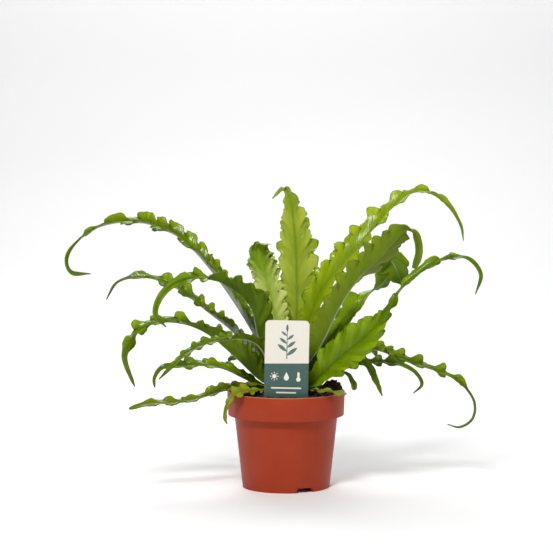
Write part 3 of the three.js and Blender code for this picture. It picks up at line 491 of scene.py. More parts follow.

# path holds [reach, height, sideways] of points on the midrib, in an upright plane at the azimuth, and root
# the radius and azimuth where it leaves the crown. Everything else runs along the midrib in shares of its
# length: width gives half widths, fold how far both halves rise from the midrib and roll how far the blade
# turns about it, in degrees, and tone what is paler or darker, partly the frond's own colour and partly
# painted light and painted shade. lobes are the large ripples near the end, each with its place and its
# heights on the raised margin and the other one. Small ripples fill the rest, half_wave apart. wave scales
# the height of all of them, bend how near the margin they begin, scallop how much they notch the outline,
# and teeth its fine unevenness. They die out at calm. rib is the half width of the silver band on the
# underside, which ends at silver.
FRONDS = {
    "left_high": dict(
        azimuth=160, root=(5, 172), look="green", fold=[(0.3, 50), (0.53, 25), (1, 25)], wave=1, rib=9,
        path=[(45, 172), (80, 218), (114, 251), (150, 266), (187, 267), (221, 256), (244, 232), (241, 214),
              (218, 212)],
        width=[(0.1, 8), (0.25, 12), (0.4, 11), (0.55, 9.5), (0.7, 8.5), (0.78, 5.5), (0.86, 4), (0.94, 3.4)],
        roll=[(0, 10), (0.28, 5), (0.42, -8), (0.55, -20), (0.8, -22), (0.9, -60), (1, -70)],
        lobes=[(0.38, 0.9, 0.4), (0.41, -0.4, 0.3), (0.425, 0.9, 0.4), (0.445, 0.9, 0.3), (0.455, -0.5, -0.8),
               (0.465, 0.9, -1), (0.49, 0.9, -0.6), (0.5, -0.7, 0.4), (0.512, 0.9, 0.5), (0.545, 0.8, 0.5),
               (0.555, -0.9, -0.8), (0.565, 0.9, -1.2), (0.58, 0.6, -0.8), (0.588, -0.4, 0.3), (0.6, 1, 0.5),
               (0.635, 0.9, 0.4), (0.65, -0.6, -0.9), (0.67, -0.3, -0.7), (0.69, 0.9, 0.1), (0.725, 0.7, 0.3),
               (0.755, -0.3, 0.2), (0.79, 0.5, -0.9), (0.83, -0.3, 0.2)], calm=0.88),
    "left_hooked": dict(
        # Its darker look is painted shade.
        azimuth=213, root=(5, 224), look="shaded", fold=[(0.3, 48), (0.57, 19), (1, 24)], wave=0.8, rib=0.8,
        path=[(31, 152), (42, 186), (67, 208), (96, 217), (125, 215), (145, 202), (152, 184), (140, 170)],
        width=[(0.15, 10), (0.36, 20), (0.5, 14), (0.62, 10), (0.7, 8), (0.76, 5), (0.82, 4), (0.93, 3)],
        roll=[(0, 10), (0.4, 15), (0.58, 8), (0.68, -30), (0.78, -50), (1, -50)],
        lobes=[(0.42, 1), (0.46, -0.5), (0.5, 1), (0.535, -0.4), (0.57, 1), (0.61, -0.8), (0.65, 1),
               (0.68, -1), (0.72, 0.6)], calm=0.78, silver=0.4, half_wave=7.5, scallop=0.2, bend=-0.4,
        tone_and_shade=[(0, 0), (0.45, 0), (0.65, 2.5), (1, 2.5)]),
    "left_whisker": dict(
        azimuth=177, root=(11, 184), look="green", fold=[(0.3, 46), (0.51, 23), (1, 23)], wave=1, rib=9,
        path=[(49, 154), (78, 178), (105, 199), (128, 210), (150, 214), (172, 208), (184, 190)],
        width=[(0.15, 6), (0.3, 9), (0.5, 9), (0.65, 8), (0.76, 6.5), (0.81, 4.5), (0.85, 2.6), (0.92, 2)],
        roll=[(0, 10), (0.3, 0), (0.42, -8), (0.55, -18), (0.85, -20), (1, -60)],
        lobes=[(0.36, 1), (0.375, -0.3), (0.39, 1), (0.42, -0.6), (0.45, 1), (0.48, -0.5), (0.51, 0.8),
               (0.535, -1), (0.59, 1), (0.63, -1), (0.68, 1.1), (0.735, -0.4), (0.81, 1)], calm=0.87),
    "left_broad": dict(
        azimuth=196, root=(11, 205), look="green", fold=[(0.3, 44), (0.58, 22), (1, 22)], wave=1, rib=0.3,
        path=[(26, 110), (54, 136), (80, 158), (103, 169), (126, 172), (145, 168), (159, 156), (167, 137),
              (157, 107)],
        width=[(0.2, 18), (0.35, 15), (0.45, 9), (0.55, 10), (0.7, 9), (0.78, 5.5), (0.84, 3.6), (0.9, 2.8),
               (0.96, 2)],
        roll=[(0, 25), (0.4, 15), (0.5, -8), (0.6, -18), (0.75, -18), (0.85, -60), (1, -70)],
        lobes=[(0.43, 1), (0.48, -0.3), (0.53, 1.1), (0.585, -1), (0.64, 0.5), (0.68, -0.9), (0.72, 1.1),
               (0.755, -1), (0.785, 1)], calm=0.85,
        # Painted shade: the tone darkens this frond's lower third, near the crown.
        tone_and_shade=[(0, -1), (0.35, -1), (0.5, 0), (1, 0)]),
    "left_front": dict(
        azimuth=226, root=(11, 238), look="green", fold=[(0.3, 30), (0.73, 18), (1, 15)], wave=0.6, rib=1,
        path=[(22, 122), (38, 146), (60, 156), (88, 157), (118, 154), (144, 145), (176, 125)],
        width=[(0.3, 8), (0.5, 8), (0.65, 6.5), (0.8, 4.5), (0.92, 2.5)],
        roll=[(0, 20), (0.45, 10), (0.55, -15), (1, -20)],
        lobes=[(0.58, -0.5), (0.64, 1), (0.675, -0.7), (0.71, 0.9), (0.75, -0.6), (0.79, 0.8), (0.84, -0.5),
               (0.88, 0.5)], calm=0.93),
    "left_arched": dict(
        azimuth=188, root=(16, 186), look="green", fold=[(0.3, 30), (0.5, 18), (1, 15)], wave=0.7, rib=2.5,
        path=[(30, 106), (46, 114), (66, 123), (90, 126), (112, 125), (126, 124), (134, 114), (134, 103)],
        width=[(0.25, 9), (0.5, 8.5), (0.7, 7), (0.78, 3.8), (0.85, 2.7), (0.95, 1.8)],
        roll=[(0, -10), (0.5, -20), (0.85, -50), (1, -60)],
        lobes=[(0.2, 0.8), (0.27, -0.4), (0.35, 0.9), (0.41, -0.5), (0.46, 1), (0.51, 0.6), (0.56, -1),
               (0.63, 1), (0.71, -1)], calm=0.79),
    "left_low": dict(
        azimuth=202, root=(16, 206), look="olive", fold=[(0.3, 25), (0.56, 15), (1, 12)], wave=0.6, rib=2,
        path=[(34, 103.5), (50, 103.5), (68, 102), (88, 97), (106, 93), (128, 92), (148, 92), (168, 88)],
        width=[(0.15, 7), (0.24, 9), (0.32, 9.5), (0.42, 8), (0.5, 6), (0.7, 6.5), (0.8, 7),
               (0.86, 4.5), (0.95, 3), (1, 1.5)],
        roll=[(0, -10), (0.5, -15), (0.8, -20), (1, -40)],
        lobes=[(0.41, 0.9), (0.51, -1), (0.56, 0.8), (0.61, 0.6), (0.65, -0.6), (0.71, 0.9), (0.8, -1),
               (0.845, 0.9)], calm=0.9),
    "left_rim": dict(
        azimuth=222, root=(16, 228), look="rim", fold=[(0.3, 10), (1, 5)], wave=0.8, rib=1,
        path=[(34, 101), (50, 102), (62, 102), (73, 98), (80, 88), (82, 78), (79, 71)],
        width=[(0.25, 5), (0.36, 8.5), (0.46, 10), (0.55, 8), (0.64, 3.5), (0.9, 2)],
        roll=[(0, 0), (0.5, -20), (1, -20)]),
    "right_high": dict(
        azimuth=14, root=(5, 28), look="fresh", fold=[(0.3, 38), (0.59, 27), (1, 19)], wave=0.9, rib=4,
        path=[(21, 160), (38, 200), (66, 234), (96, 268), (124, 294), (147, 300), (171, 287), (186, 266),
              (190, 248)],
        width=[(0.15, 10), (0.3, 15), (0.48, 16), (0.6, 13), (0.72, 9), (0.82, 7), (0.88, 4), (0.94, 2.4)],
        roll=[(0, 35), (0.3, 52), (0.45, 40), (0.6, 18), (0.8, 14), (0.9, 50), (1, 60)],
        lobes=[(0.44, 0.9), (0.49, -0.5), (0.52, 0.9), (0.56, -0.5), (0.6, 1), (0.65, -0.3), (0.69, 0.9),
               (0.735, -0.2), (0.775, 0.7), (0.81, -0.5), (0.845, 0.6)], calm=0.9, half_wave=11,
        scallop=0.42),
    "right_dark": dict(
        azimuth=340, root=(5, 328), look="olive", fold=[(0.3, 45), (0.89, 14), (1, 22)], wave=0.3, rib=0.8,
        path=[(34, 142), (56, 184), (77, 215), (98, 235), (114, 252), (125, 263.5), (134, 260, 4),
              (137, 243, 8), (132, 225, 9)],
        width=[(0.07, 12), (0.15, 17), (0.28, 19), (0.42, 16), (0.56, 15.5), (0.68, 17), (0.76, 14),
               (0.81, 9), (0.835, 5.2), (0.96, 4.6), (1, 3)],
        roll=[(0, -20), (0.45, -25), (0.62, -50), (0.78, -52), (0.87, 35), (1, 50)],
        lobes=[(0.7, 0.8), (0.75, -0.7), (0.79, 0.9), (0.82, -0.4)], calm=0.83, silver=0.6, half_wave=12,
        scallop=0.26, bend=-0.6),
    "right_folded": dict(
        azimuth=15, root=(11, 18), look="bright", fold=[(0.3, 16), (0.5, 14), (1, 19)], wave=0.8, rib=0.7,
        path=[(24, 114), (40, 141), (57, 164), (70, 179), (89, 196), (104, 209, -2), (107, 224, -8),
              (109, 228, -13), (112, 219, -20), (115, 205, -26)],
        width=[(0.12, 7), (0.26, 12), (0.38, 10), (0.53, 10.5), (0.62, 8.5), (0.74, 10), (0.88, 15),
               (0.96, 9)],
        roll=[(0, 20), (0.2, 45), (0.32, 60), (0.5, 60), (0.8, -70), (1, -85)],
        lobes=[(0.3, -0.8, 0.2), (0.36, 0.7, 0.1), (0.42, -1.2, 0.2), (0.53, 1.3, 0.1), (0.64, -1.3, 0.1),
               (0.75, 0.8, -0.6), (0.82, -0.8, 0.8), (0.88, 0.7, -0.8), (0.94, -0.7, 0.8)], calm=1,
        # Painted light: the tone brightens the band, which the broad frond beside it shades; the folded end
        # is darker.
        scallop=0.4, tone_and_shade=[(0, 2), (0.6, 3), (0.74, -1.5), (1, -1.5)]),
    "right_bright": dict(
        azimuth=332, root=(11, 330), look="bright", fold=[(0.3, 12), (0.81, 7), (1, 6)],
        wave=0.9, rib=1, half_wave=10,
        path=[(29, 106), (59, 134), (88, 157), (107, 177, 3), (121, 202, 8), (137, 222, 18), (158, 235, 33),
              (178, 236, 48), (189, 220, 57), (183, 199, 58)],
        width=[(0.04, 8.5), (0.1, 12), (0.2, 18), (0.31, 20), (0.37, 17.5), (0.42, 10.5), (0.47, 5),
               (0.53, 4), (0.7, 4.5), (0.78, 5), (0.83, 2.8), (0.93, 2.2)],
        roll=[(0, 30), (0.12, 80), (0.44, 80), (0.55, 55), (0.7, 35), (0.8, 10), (0.9, 40), (1, 50)],
        lobes=[(0.66, 0.5), (0.72, 1.4), (0.77, -1.6), (0.795, 1.4)], calm=0.83, bend=-0.6),
    "right_long": dict(
        azimuth=8, root=(16, 14), look="green", fold=[(0.3, 30), (0.52, 18), (1, 15)], wave=1, rib=3,
        path=[(26, 110), (44, 124), (68, 137), (94, 139), (127, 126), (160, 115), (182, 103), (196, 84),
              (195, 66), (182, 57), (168, 60)],
        width=[(0.25, 9), (0.45, 10), (0.6, 9), (0.7, 6), (0.76, 2.8), (0.9, 2)],
        roll=[(0, 10), (0.5, 20), (0.75, 20), (0.9, 50), (1, 50)],
        lobes=[(0.37, 0.9), (0.385, -0.3), (0.405, 0.9), (0.425, -0.6), (0.45, 1), (0.485, -0.3), (0.53, 1.1),
               (0.57, -1), (0.6, -0.2), (0.63, 1), (0.66, -0.5), (0.71, 0.9)], calm=0.77),
    "right_middle": dict(
        azimuth=356, root=(16, 358), look="green", fold=[(0.3, 25), (0.6, 15), (1, 12)], wave=1, rib=2.5,
        path=[(28, 105), (44, 115), (62, 124), (88, 128), (112, 127), (130, 119), (138, 106), (129, 96)],
        width=[(0.3, 8), (0.5, 8), (0.62, 6), (0.7, 3.4), (0.88, 2.4)],
        roll=[(0, 0), (0.5, 15), (0.8, 40), (1, 60)],
        lobes=[(0.45, 0.9), (0.51, -0.4), (0.56, 0.8), (0.6, -0.3), (0.635, 1)], calm=0.7),
    "right_hanging": dict(
        azimuth=346, root=(11, 354), look="green", fold=[(0.3, 25), (1, 12)], wave=0.2, rib=1,
        path=[(28, 114), (50, 132), (70, 136), (84, 127), (93, 112), (100, 95)],
        width=[(0.3, 5), (0.6, 5), (0.75, 4.6), (0.9, 2.6)],
        roll=[(0, 0), (0.6, 40), (1, 60)]),
    "right_small": dict(
        azimuth=338, root=(16, 342), look="green", fold=[(0.3, 25), (1, 12)], wave=0.8, rib=1,
        path=[(30, 106, 3), (44, 114, 3), (57, 119, 3), (66, 117, 4), (71, 108, 5), (72, 101, 6)],
        width=[(0.3, 3), (0.5, 1.6), (0.8, 1.8), (0.92, 3.4), (1, 2.4)],
        roll=[(0, 0), (0.7, 40), (1, 60)]),
    "right_rim": dict(
        azimuth=310, root=(16, 308), look="rim", fold=[(0.3, 15), (1, 8)], wave=0.7, rib=1,
        path=[(34, 102), (50, 103.5), (66, 103.5, 3), (76, 102, 8), (80, 101, 11)],
        width=[(0.2, 2.6), (0.35, 3.4), (0.6, 6), (0.9, 5.5), (1, 4)],
        roll=[(0, 0), (1, 0)]),
    "centre_tall": dict(
        azimuth=88, root=(8, 75), look="pale", fold=[(0.3, 10), (0.54, 6), (1, 5)], wave=0.8, rib=1.8,
        path=[(18, 132, -6), (28, 170, -10), (38, 210, -10), (46, 250, -8), (52, 284, -4), (53, 303, 3),
              (47, 292, 16)],
        width=[(0.08, 8), (0.25, 11), (0.4, 15), (0.52, 19), (0.64, 19), (0.74, 15), (0.84, 8), (0.9, 4.5),
               (0.95, 2)],
        roll=[(0, 0), (1, 0)],
        lobes=[(0.39, 0.8, 0.5), (0.48, -0.9, -0.4), (0.56, 1, 0.5), (0.65, -1.1, -0.6), (0.69, 0.6, 0.3),
               (0.745, -0.8, -0.5), (0.79, 1, 0.6), (0.86, -0.9, -0.4), (0.92, 0.3, 0.2)], calm=0.95,
        half_wave=9, scallop=0.15, bend=-0.8, teeth=1.1),
    "centre_curled": dict(
        azimuth=95, root=(9, 130), look="young", fold=[(0.3, 15), (0.85, 9), (1, 8)], wave=0.55, rib=1.2,
        path=[(12, 138, 4), (18, 170, 9), (22, 198, 15), (25, 222, 22), (24, 238, 26), (20, 246, 22),
              (16, 247, 15)],
        width=[(0.2, 6), (0.4, 12), (0.55, 14), (0.75, 14), (0.88, 12), (1, 6)],
        roll=[(0, 0), (1, 0)], half_wave=6,
        lobes=[(0.7 + 0.03 * n, 0.9 * (-1) ** n) for n in range(10)], calm=1, bend=0.5, teeth=1.2,
        tone_and_shade=[(0, 0.5), (0.6, 0.5), (0.85, -3.5), (1, -3.5)]),
}
# The six fronds behind are alike but for where they grow and how far they reach.
for number, (azimuth, root, path, width) in enumerate((
    (38, (11, 46), [(34, 124), (60, 142), (88, 146), (112, 136), (126, 118)],
     [(0.3, 9), (0.6, 8), (0.85, 4)]),
    (62, (16, 60), [(34, 116), (60, 132), (88, 134), (112, 120), (124, 98)],
     [(0.3, 8), (0.6, 8), (0.85, 4)]),
    (84, (15, 84), [(42, 140), (66, 182), (94, 206), (124, 206), (152, 184), (166, 152)],
     [(0.3, 12), (0.55, 12), (0.72, 7), (0.88, 4)]),
    (103, (16, 104), [(34, 120), (62, 140), (94, 142), (122, 124), (136, 98)],
     [(0.3, 9), (0.6, 9), (0.85, 4)]),
    (124, (16, 126), [(32, 116), (52, 134), (72, 142), (92, 138), (104, 124)],
     [(0.3, 8), (0.6, 8), (0.85, 4)]),
    (147, (16, 149), [(30, 112), (44, 124), (56, 129), (66, 127), (74, 119)],
     [(0.3, 7), (0.6, 7), (0.85, 3.5)]),
), 1):
    FRONDS[f"back_{number}"] = dict(
        azimuth=azimuth, root=root, look="green", fold=[(0.3, 30), (1, 15)], wave=1, rib=1,
        path=path, width=width, roll=[(0, 0), (1, 0)])


def smoothstep(value, low, high):
    share = np.clip((value - low) / (high - low), 0, 1)
    return share * share * (3 - 2 * share)


def between(knots, place):
    """Smooth steps between knots of (place, value), for an array of places."""
    at = np.array([knot[0] for knot in knots])
    values = np.array([knot[1] for knot in knots], float)
    first = np.clip(np.searchsorted(at, place, side="right") - 1, 0, len(at) - 2)
    return values[first] + (values[first + 1] - values[first]) * smoothstep(place, at[first], at[first + 1])


def unit(vectors):
    return vectors / np.linalg.norm(vectors, axis=-1, keepdims=True)


def midrib_of(frond):
    """Points and directions along a frond's midrib, evenly spaced, and its length, in millimetres."""
    turn = math.radians(frond["azimuth"])
    out, side = np.array((math.cos(turn), math.sin(turn), 0)), np.array((-math.sin(turn), math.cos(turn), 0))
    radius, azimuth = frond["root"]
    base = math.radians(azimuth)
    height = 90 + 18 * math.sqrt(1 - (radius / 20) ** 2)
    points = [np.array((radius * math.cos(base), radius * math.sin(base), height))]
    for reach, height, *sideways in frond["path"]:
        points.append(out * reach + side * (sideways[0] if sideways else 0) + np.array((0, 0, height)))
    points = [2 * points[0] - points[1]] + points + [2 * points[-1] - points[-2]]
    share = np.linspace(0, 1, 80, endpoint=False)[:, None]
    line = []
    for before, start, end, after in zip(points, points[1:], points[2:], points[3:]):
        leave, arrive = (end - before) / 2, (after - start) / 2
        line.append(
            (2 * share**3 - 3 * share**2 + 1) * start + (share**3 - 2 * share**2 + share) * leave
            + (3 * share**2 - 2 * share**3) * end + (share**3 - share**2) * arrive
        )
    line = np.concatenate(line + [points[-2][None]])
    run = np.concatenate([[0], np.cumsum(np.linalg.norm(np.diff(line, axis=0), axis=1))])
    length = run[-1]
    stations = max(60, round(length / 1.1))
    places = np.linspace(0, 1, stations + 1)
    even = np.stack([np.interp(places * length, run, line[:, k]) for k in range(3)], 1)
    along = unit(np.gradient(even, axis=0))
    return places, even, along, side, length


def crests_of(frond, length, seed):
    """Where the ripples of each margin turn, as shares of the length, and how high they are there."""
    knots = width_of(frond)
    lobes = frond.get("lobes", [])
    last = lobes[0][0] if lobes else 1
    places = [0]
    while True:
        half_wave = frond.get("half_wave", HALF_WAVE) * (1 + TAIL_STRETCH * max(0, places[-1] - 0.4)) / length
        if places[-1] + 1.4 * half_wave > last:
            break
        places.append(places[-1] + half_wave)
    steps = np.arange(len(places) + len(lobes) + 1)
    left = (steps * 0.618034 + seed * 0.377) % 1
    right = (steps * 0.618034 + (seed + 1) * 0.377) % 1
    way = (-1.0) ** steps
    ripples = [way * (0.45 + 0.75 * right), -way * (0.45 + 0.75 * left)]
    for step, (share, height, *other) in enumerate(lobes, len(places)):
        raised = 0 if between(frond["roll"], np.array([share]))[0] > 0 else 1
        ripples[raised][step] = height
        ripples[1 - raised][step] = other[0] if other else -height * (0.4 + 0.6 * left[step])
    places += [share for share, *heights in lobes] + [1]
    slant = VEIN_SLANT * between(knots, np.array(places)) / length
    spare = np.full(len(places), 0.8 * frond.get("half_wave", HALF_WAVE) / length)
    if lobes:
        slant[-len(lobes) - 1 :] = 0
        spare[-len(lobes) - 1 :] = 0
    turns = []
    for offset, height in zip((left, right), ripples):
        margin = np.array(places) + slant + (offset - 0.5) * spare
        margin[0], margin[-1] = 0, 1
        if lobes:
            height[-1] = 0
        turns.append((np.maximum.accumulate(np.clip(margin, 0, 1)), height))
    return turns


def width_of(frond):
    """Knots of half width along a frond, from its stalk to its tip."""
    knots = [(0, PETIOLE), *frond["width"]]
    return knots if knots[-1][0] == 1 else [*knots, (1, TIP)]


def ripple(place, crests):
    """The ripple at places on a margin: its height, from -1 to 1 or so, how far it scallops, and its lean."""
    at, heights = crests
    first = np.clip(np.searchsorted(at, place, side="right") - 1, 0, len(at) - 2)
    span = np.maximum(at[first + 1] - at[first], 1e-6)
    share = np.clip((place - at[first]) / span, 0, 1)
    height = heights[first] + (heights[first + 1] - heights[first]) * smoothstep(share, 0.04, 0.96)
    crest = np.abs(heights[first]) + (np.abs(heights[first + 1]) - np.abs(heights[first])) * share
    turning = heights[first] * heights[first + 1] < 0
    scallop = crest * np.where(turning, np.abs(np.cos(np.pi * share)) ** 0.6, 1)
    return np.sign(height) * np.abs(height) ** 0.85, scallop, np.sin(2 * np.pi * share)


def crinkled(run, row, size):
    """A fine unevenness along a margin, from -1 to 1, for distances along it in millimetres."""
    return np.array([noise.noise(Vector((distance / size, row, 0.5))) for distance in run]) * 2


def blade_of(frond, seed):
    """A frond's closed blade as a bmesh, with its across and along places in millimetres as a UV map.

    Its attributes say how far a vertex is under the blade, how wide the silver band is there, how far the
    margin is, and how much its colour is painted darker or paler: painted shade in the ripples' troughs,
    painted highlight on their crests, and the tone.
    """
    places, line, along, side, length = midrib_of(frond)
    width = between(width_of(frond), places)
    roll = np.radians(between(frond["roll"], places))[:, None]
    lobes, calm = frond.get("lobes"), frond.get("calm", 0.95)
    silver = frond.get("silver", calm)
    fold = np.radians(between([(0, ROOT_FOLD), *frond["fold"]], places))
    across = unit(side - along * (along @ side)[:, None])
    up = np.cross(along, across)
    outward = across * np.cos(roll) + up * np.sin(roll)
    upward = up * np.cos(roll) - across * np.sin(roll)

    shares = np.linspace(1, -1, COLUMNS + 1)
    shares = np.sign(shares) * np.abs(shares) ** 1.35
    sheet = np.zeros((len(places), COLUMNS + 1, 3))
    crests = crests_of(frond, length, seed)
    onset = smoothstep(places, 0.05, 0.2) * (1 - smoothstep(places, calm - 0.05, calm))
    reach_of_lobes = smoothstep(places, 0.3, 0.6)
    tall = frond["wave"] * (WAVE_HEIGHT + OUTER_HEIGHT * reach_of_lobes) * (1 - np.exp(-width / 5)) * onset
    bend = np.maximum(0.7, frond.get("bend", 1.2) + width / 8)
    small = np.minimum(1, width / 9)
    depth = onset * (frond.get("scallop", 0.24) + (0.36 * reach_of_lobes if lobes else 0))
    fine = {hand: crinkled(places * length, 3 * seed + hand, 3.4) * onset for hand in (1, -1)}
    notch = {hand: crinkled(places * length, 3 * seed + hand + 0.5, 2.6) * onset for hand in (1, -1)}
    ripple_shade_and_tone = np.zeros(sheet.shape[:2])
    tone_and_shade = between(frond.get("tone_and_shade", [(0, 0), (1, 0)]), places)
    for column, share in enumerate(shares):
        hand, part = (1 if share >= 0 else -1), abs(share)
        pleat = places + PLEAT_SLANT * width / length * (1 - part)
        height, scallop, lean = ripple(pleat, crests[0 if hand > 0 else 1])
        reach = outward * (hand * np.cos(fold))[:, None] + upward * np.sin(fold)[:, None]
        face = upward * np.cos(fold)[:, None] - outward * (hand * np.sin(fold))[:, None]
        swell = 1 + depth * (1.1 * scallop - 0.6)
        toothed = frond.get("teeth", 0.5) * small * notch[hand] * part**4
        wide = width * part * (1 + (swell - 1) * part) + toothed
        crease = 0.8 * np.sin(fold)
        lifted = np.sqrt((wide * np.sin(fold)) ** 2 + crease**2) - crease
        spread = outward * (hand * wide * np.cos(fold))[:, None] + upward * lifted[:, None]
        wave = tall * height * part**bend + 0.7 * small * fine[hand] * part**3
        # Painted shade and highlight: the ripple's height, low in troughs and high on crests, plus the tone,
        # for the colour.
        ripple_shade_and_tone[:, column] = wave + tone_and_shade
        sheet[:, column] = (
            line + spread + face * wave[:, None] + along * (0.28 * tall * lean * part**2)[:, None]
        )

    normal = np.cross(np.gradient(sheet, axis=1), np.gradient(sheet, axis=0))
    normal = unit(normal)
    normal *= np.sign(np.sum(normal * upward[:, None], axis=2, keepdims=True).mean() or 1)
    thick = 0.5 * BLADE * (1 - 0.45 * np.abs(shares) ** 2)
    thick[0] = thick[-1] = 0
    spread = shares[None] * width[:, None]
    shown = 1 - smoothstep(places, silver - 0.15, silver)
    rib = frond["rib"] * (0.25 + 0.75 * (1 - places) ** 0.8) * shown + 0.05
    keel = KEEL * ((1 - places) ** 0.7)[:, None] * np.exp(-((spread / (rib[:, None] + 0.5)) ** 2))
    taper = (np.minimum(1, width / 1.5) * (1.9 - 0.9 * smoothstep(width, 2, 4.5)))[:, None]
    groove = 0.2 * np.exp(-((spread / 1.1) ** 2)) * np.minimum(1, width / 5)[:, None]
    top = sheet + normal * (thick * taper - groove)[..., None]
    bottom = sheet - normal * (thick * taper)[..., None] - upward[:, None] * keel[..., None]

    builder = bmesh.new()
    rounds, steps = 2 * COLUMNS, len(places) - 1
    bmesh.ops.create_grid(builder, x_segments=rounds, y_segments=steps, size=0.5)
    blade = builder.loops.layers.uv.new("blade")
    under = builder.verts.layers.float.new("under")
    ridge = builder.verts.layers.float.new("ridge")
    edge = builder.verts.layers.float.new("edge")
    painted_shade_and_tone = builder.verts.layers.float.new("painted_shade_and_tone")
    ends = {0: [], steps: []}
    seen = {}
    for vertex in builder.verts:
        column, step = round((vertex.co.x + 0.5) * rounds), round((vertex.co.y + 0.5) * steps)
        below = column > COLUMNS
        column = rounds - column if below else column
        vertex.co = Vector((bottom if below else top)[step, column] * MM)
        vertex[under] = 0.5 if column in (0, COLUMNS) else float(below)
        vertex[ridge] = rib[step]
        vertex[edge] = (1 - abs(shares[column])) * width[step]
        vertex[painted_shade_and_tone] = ripple_shade_and_tone[step, column]
        seen[vertex] = (shares[column] * width[step], places[step] * length)
        if step in ends:
            ends[step].append(vertex)
    for face in builder.faces:
        for loop in face.loops:
            loop[blade].uv = seen[loop.vert]
    for ring in ends.values():
        middle = sum((v.co for v in ring), Vector()) / len(ring)
        bmesh.ops.pointmerge(builder, verts=ring, merge_co=middle)
    bmesh.ops.remove_doubles(builder, verts=builder.verts, dist=1e-6)
    bmesh.ops.recalc_face_normals(builder, faces=builder.faces)
    return builder


# Leaf: a waxy skin over translucent green tissue, so light from behind comes through. Side veins a
# millimetre apart run forward to the margin, and are drawn at 3.5 mm so that they show. The midrib is a fine
# groove above and a silver-grey ridge below, and the margin is edged with a thin darker line. Each look has
# its dark and light green above, the green below, the ridge's grey and the edge's line.
VEIN_SPACING = 3.5
WAVE_TEXTURE_PERIOD = 0.314
LOOKS = {
    "green": ("#3a5400", "#88a008", "#486000", "#a0a890", "#2a3406"),
    # Painted shade: this look is a darker copy of the green, for the hooked frond on the left.
    "shaded": ("#304a00", "#7a960a", "#3e5600", "#88967a", "#243004"),
    "olive": ("#4e6400", "#8a9a10", "#5a7006", "#9ca28a", "#323e0a"),
    "bright": ("#446000", "#84a006", "#4e6a00", "#8c9a62", "#36440a"),
    "fresh": ("#648000", "#a6b81c", "#728a0c", "#acb28e", "#404e08"),
    "pale": ("#748a0a", "#aab640", "#6a8004", "#7c8a1a", "#56600e"),
    "young": ("#70900c", "#dce282", "#88a020", "#98a470", "#4c5e0c"),
    "rim": ("#6c7a08", "#a2a62a", "#6a7216", "#8c8a56", "#70461a"),
}
leaves = {}
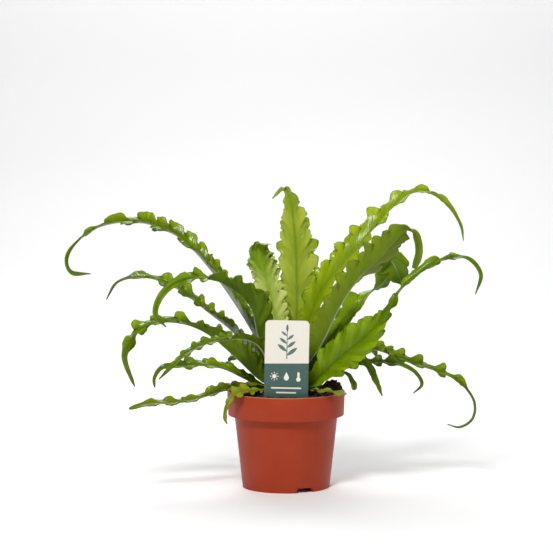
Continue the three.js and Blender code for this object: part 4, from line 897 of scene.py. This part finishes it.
for look, (dark, light, below, rib, rim) in LOOKS.items():
    leaf, tree = material("fern_leaf_" + look)
    blade = add(tree, "ShaderNodeUVMap", {"uv_map": "blade"}).outputs[0]
    under = add(tree, "ShaderNodeAttribute", {"attribute_name": "under"}).outputs["Fac"]
    ridge = add(tree, "ShaderNodeAttribute", {"attribute_name": "ridge"}).outputs["Fac"]
    edge = add(tree, "ShaderNodeAttribute", {"attribute_name": "edge"}).outputs["Fac"]
    painted_shade_and_tone = add(tree, "ShaderNodeAttribute", {"attribute_name": "painted_shade_and_tone"}).outputs["Fac"]
    apart = add(tree, "ShaderNodeSeparateXYZ", links={0: blade})
    across = add(tree, "ShaderNodeMath", {"operation": "ABSOLUTE"}, {0: apart.outputs[0]}).outputs[0]
    ahead = add(tree, "ShaderNodeMath", {"operation": "MULTIPLY_ADD", 1: -PLEAT_SLANT},
                {0: across, 2: apart.outputs[1]}).outputs[0]
    lines = add(tree, "ShaderNodeCombineXYZ", links={0: ahead, 1: across})
    veins = add(tree, "ShaderNodeTexWave", {"Scale": WAVE_TEXTURE_PERIOD / VEIN_SPACING, "Distortion": 1.5,
                "Detail": 2, "Detail Scale": 0.4}, {"Vector": lines.outputs[0]})
    patches = add(tree, "ShaderNodeTexNoise", {"Scale": 1 / 9, "Detail": 4, "Roughness": 0.6},
                  {"Vector": lines.outputs[0]})
    place = add(tree, "ShaderNodeTexCoord").outputs["Object"]
    cloud = add(tree, "ShaderNodeTexNoise", {"Scale": 1 / 0.04, "Detail": 2}, {"Vector": place})
    amount = add(tree, "ShaderNodeMath", {"operation": "MULTIPLY_ADD", 1: 0.9, 2: -0.2},
                 {0: patches.outputs[0]}).outputs[0]
    amount = add(tree, "ShaderNodeMath", {"operation": "MULTIPLY_ADD", 1: 0.55},
                 {0: cloud.outputs[0], 2: amount}).outputs[0]
    amount = add(tree, "ShaderNodeMath", {"operation": "MULTIPLY_ADD", 1: 0.035},
                 {0: across, 2: amount}).outputs[0]
    # Painted shade and highlight: troughs of the ripples darker, their crests paler, with each frond's tone
    # added.
    amount = add(tree, "ShaderNodeMath", {"operation": "MULTIPLY_ADD", 1: 0.14},
                 {0: painted_shade_and_tone, 2: amount}).outputs[0]
    amount = add(tree, "ShaderNodeMath", {"operation": "SUBTRACT", 1: 0.22, "use_clamp": True},
                 {0: amount}).outputs[0]
    upper = add(tree, "ShaderNodeMix", {"data_type": "RGBA", 6: linear(dark), 7: linear(light)}, {0: amount})
    faint = add(tree, "ShaderNodeMath", {"operation": "MULTIPLY", 1: 0.14}, {0: veins.outputs["Fac"]})
    veined = add(tree, "ShaderNodeMix", {"data_type": "RGBA", 7: linear(dark)},
                 {6: upper.outputs[2], 0: faint.outputs[0]})
    groove = add(tree, "ShaderNodeMapRange", {"From Min": 2.2, "From Max": 0.4, "To Max": 0.65},
                 {"Value": across})
    upper = add(tree, "ShaderNodeMix", {"data_type": "RGBA", 7: linear(below)},
                {6: veined.outputs[2], 0: groove.outputs[0]})
    lower = add(tree, "ShaderNodeMix", {"data_type": "RGBA", 0: 0.5, 7: linear(below)},
                {6: veined.outputs[2]})
    nearer = add(tree, "ShaderNodeMath", {"operation": "DIVIDE"}, {0: across, 1: ridge})
    band = add(tree, "ShaderNodeMapRange", {"From Min": 1.25, "From Max": 0.7}, {"Value": nearer.outputs[0]})
    lower = add(tree, "ShaderNodeMix", {"data_type": "RGBA", 7: linear(rib)},
                {6: lower.outputs[2], 0: band.outputs[0]})
    both = add(tree, "ShaderNodeMix", {"data_type": "RGBA"},
               {0: under, 6: upper.outputs[2], 7: lower.outputs[2]})
    seam = add(tree, "ShaderNodeMapRange", {"From Min": 0.9, "From Max": 0.2, "To Max": 0.4}, {"Value": edge})
    colour = add(tree, "ShaderNodeMix", {"data_type": "RGBA", 7: linear(rim)},
                 {0: seam.outputs[0], 6: both.outputs[2]})
    waxy = add(tree, "ShaderNodeMapRange", {"To Min": 0.21, "To Max": 0.5}, {"Value": under})
    wrinkled = add(tree, "ShaderNodeMath", {"operation": "MULTIPLY_ADD", 1: 0.4},
                   {0: veins.outputs["Fac"], 2: patches.outputs[0]})
    raised = add(tree, "ShaderNodeMapRange", {"To Min": 0.34, "To Max": 0.2}, {"Value": under})
    bump = add(tree, "ShaderNodeBump", {"Distance": 0.5 * MM},
               {"Height": wrinkled.outputs[0], "Strength": raised.outputs[0]})
    shader = add(tree, "ShaderNodeBsdfPrincipled",
                 {"IOR": 1.45, "Specular IOR Level": 0.22, "Subsurface Weight": 0.2,
                  "Subsurface Scale": 1.2 * MM, "Subsurface Radius": (0.7, 1.0, 0.2)},
                 {"Base Color": colour.outputs[2], "Roughness": waxy.outputs[0], "Normal": bump.outputs[0]})
    add(tree, "ShaderNodeOutputMaterial", links={"Surface": shader.outputs[0]})
    leaves[look] = leaf

for seed, (name, frond) in enumerate(FRONDS.items()):
    finished("fern_" + name, blade_of(frond, seed), leaves[frond["look"]],
             ["frond_" + name])
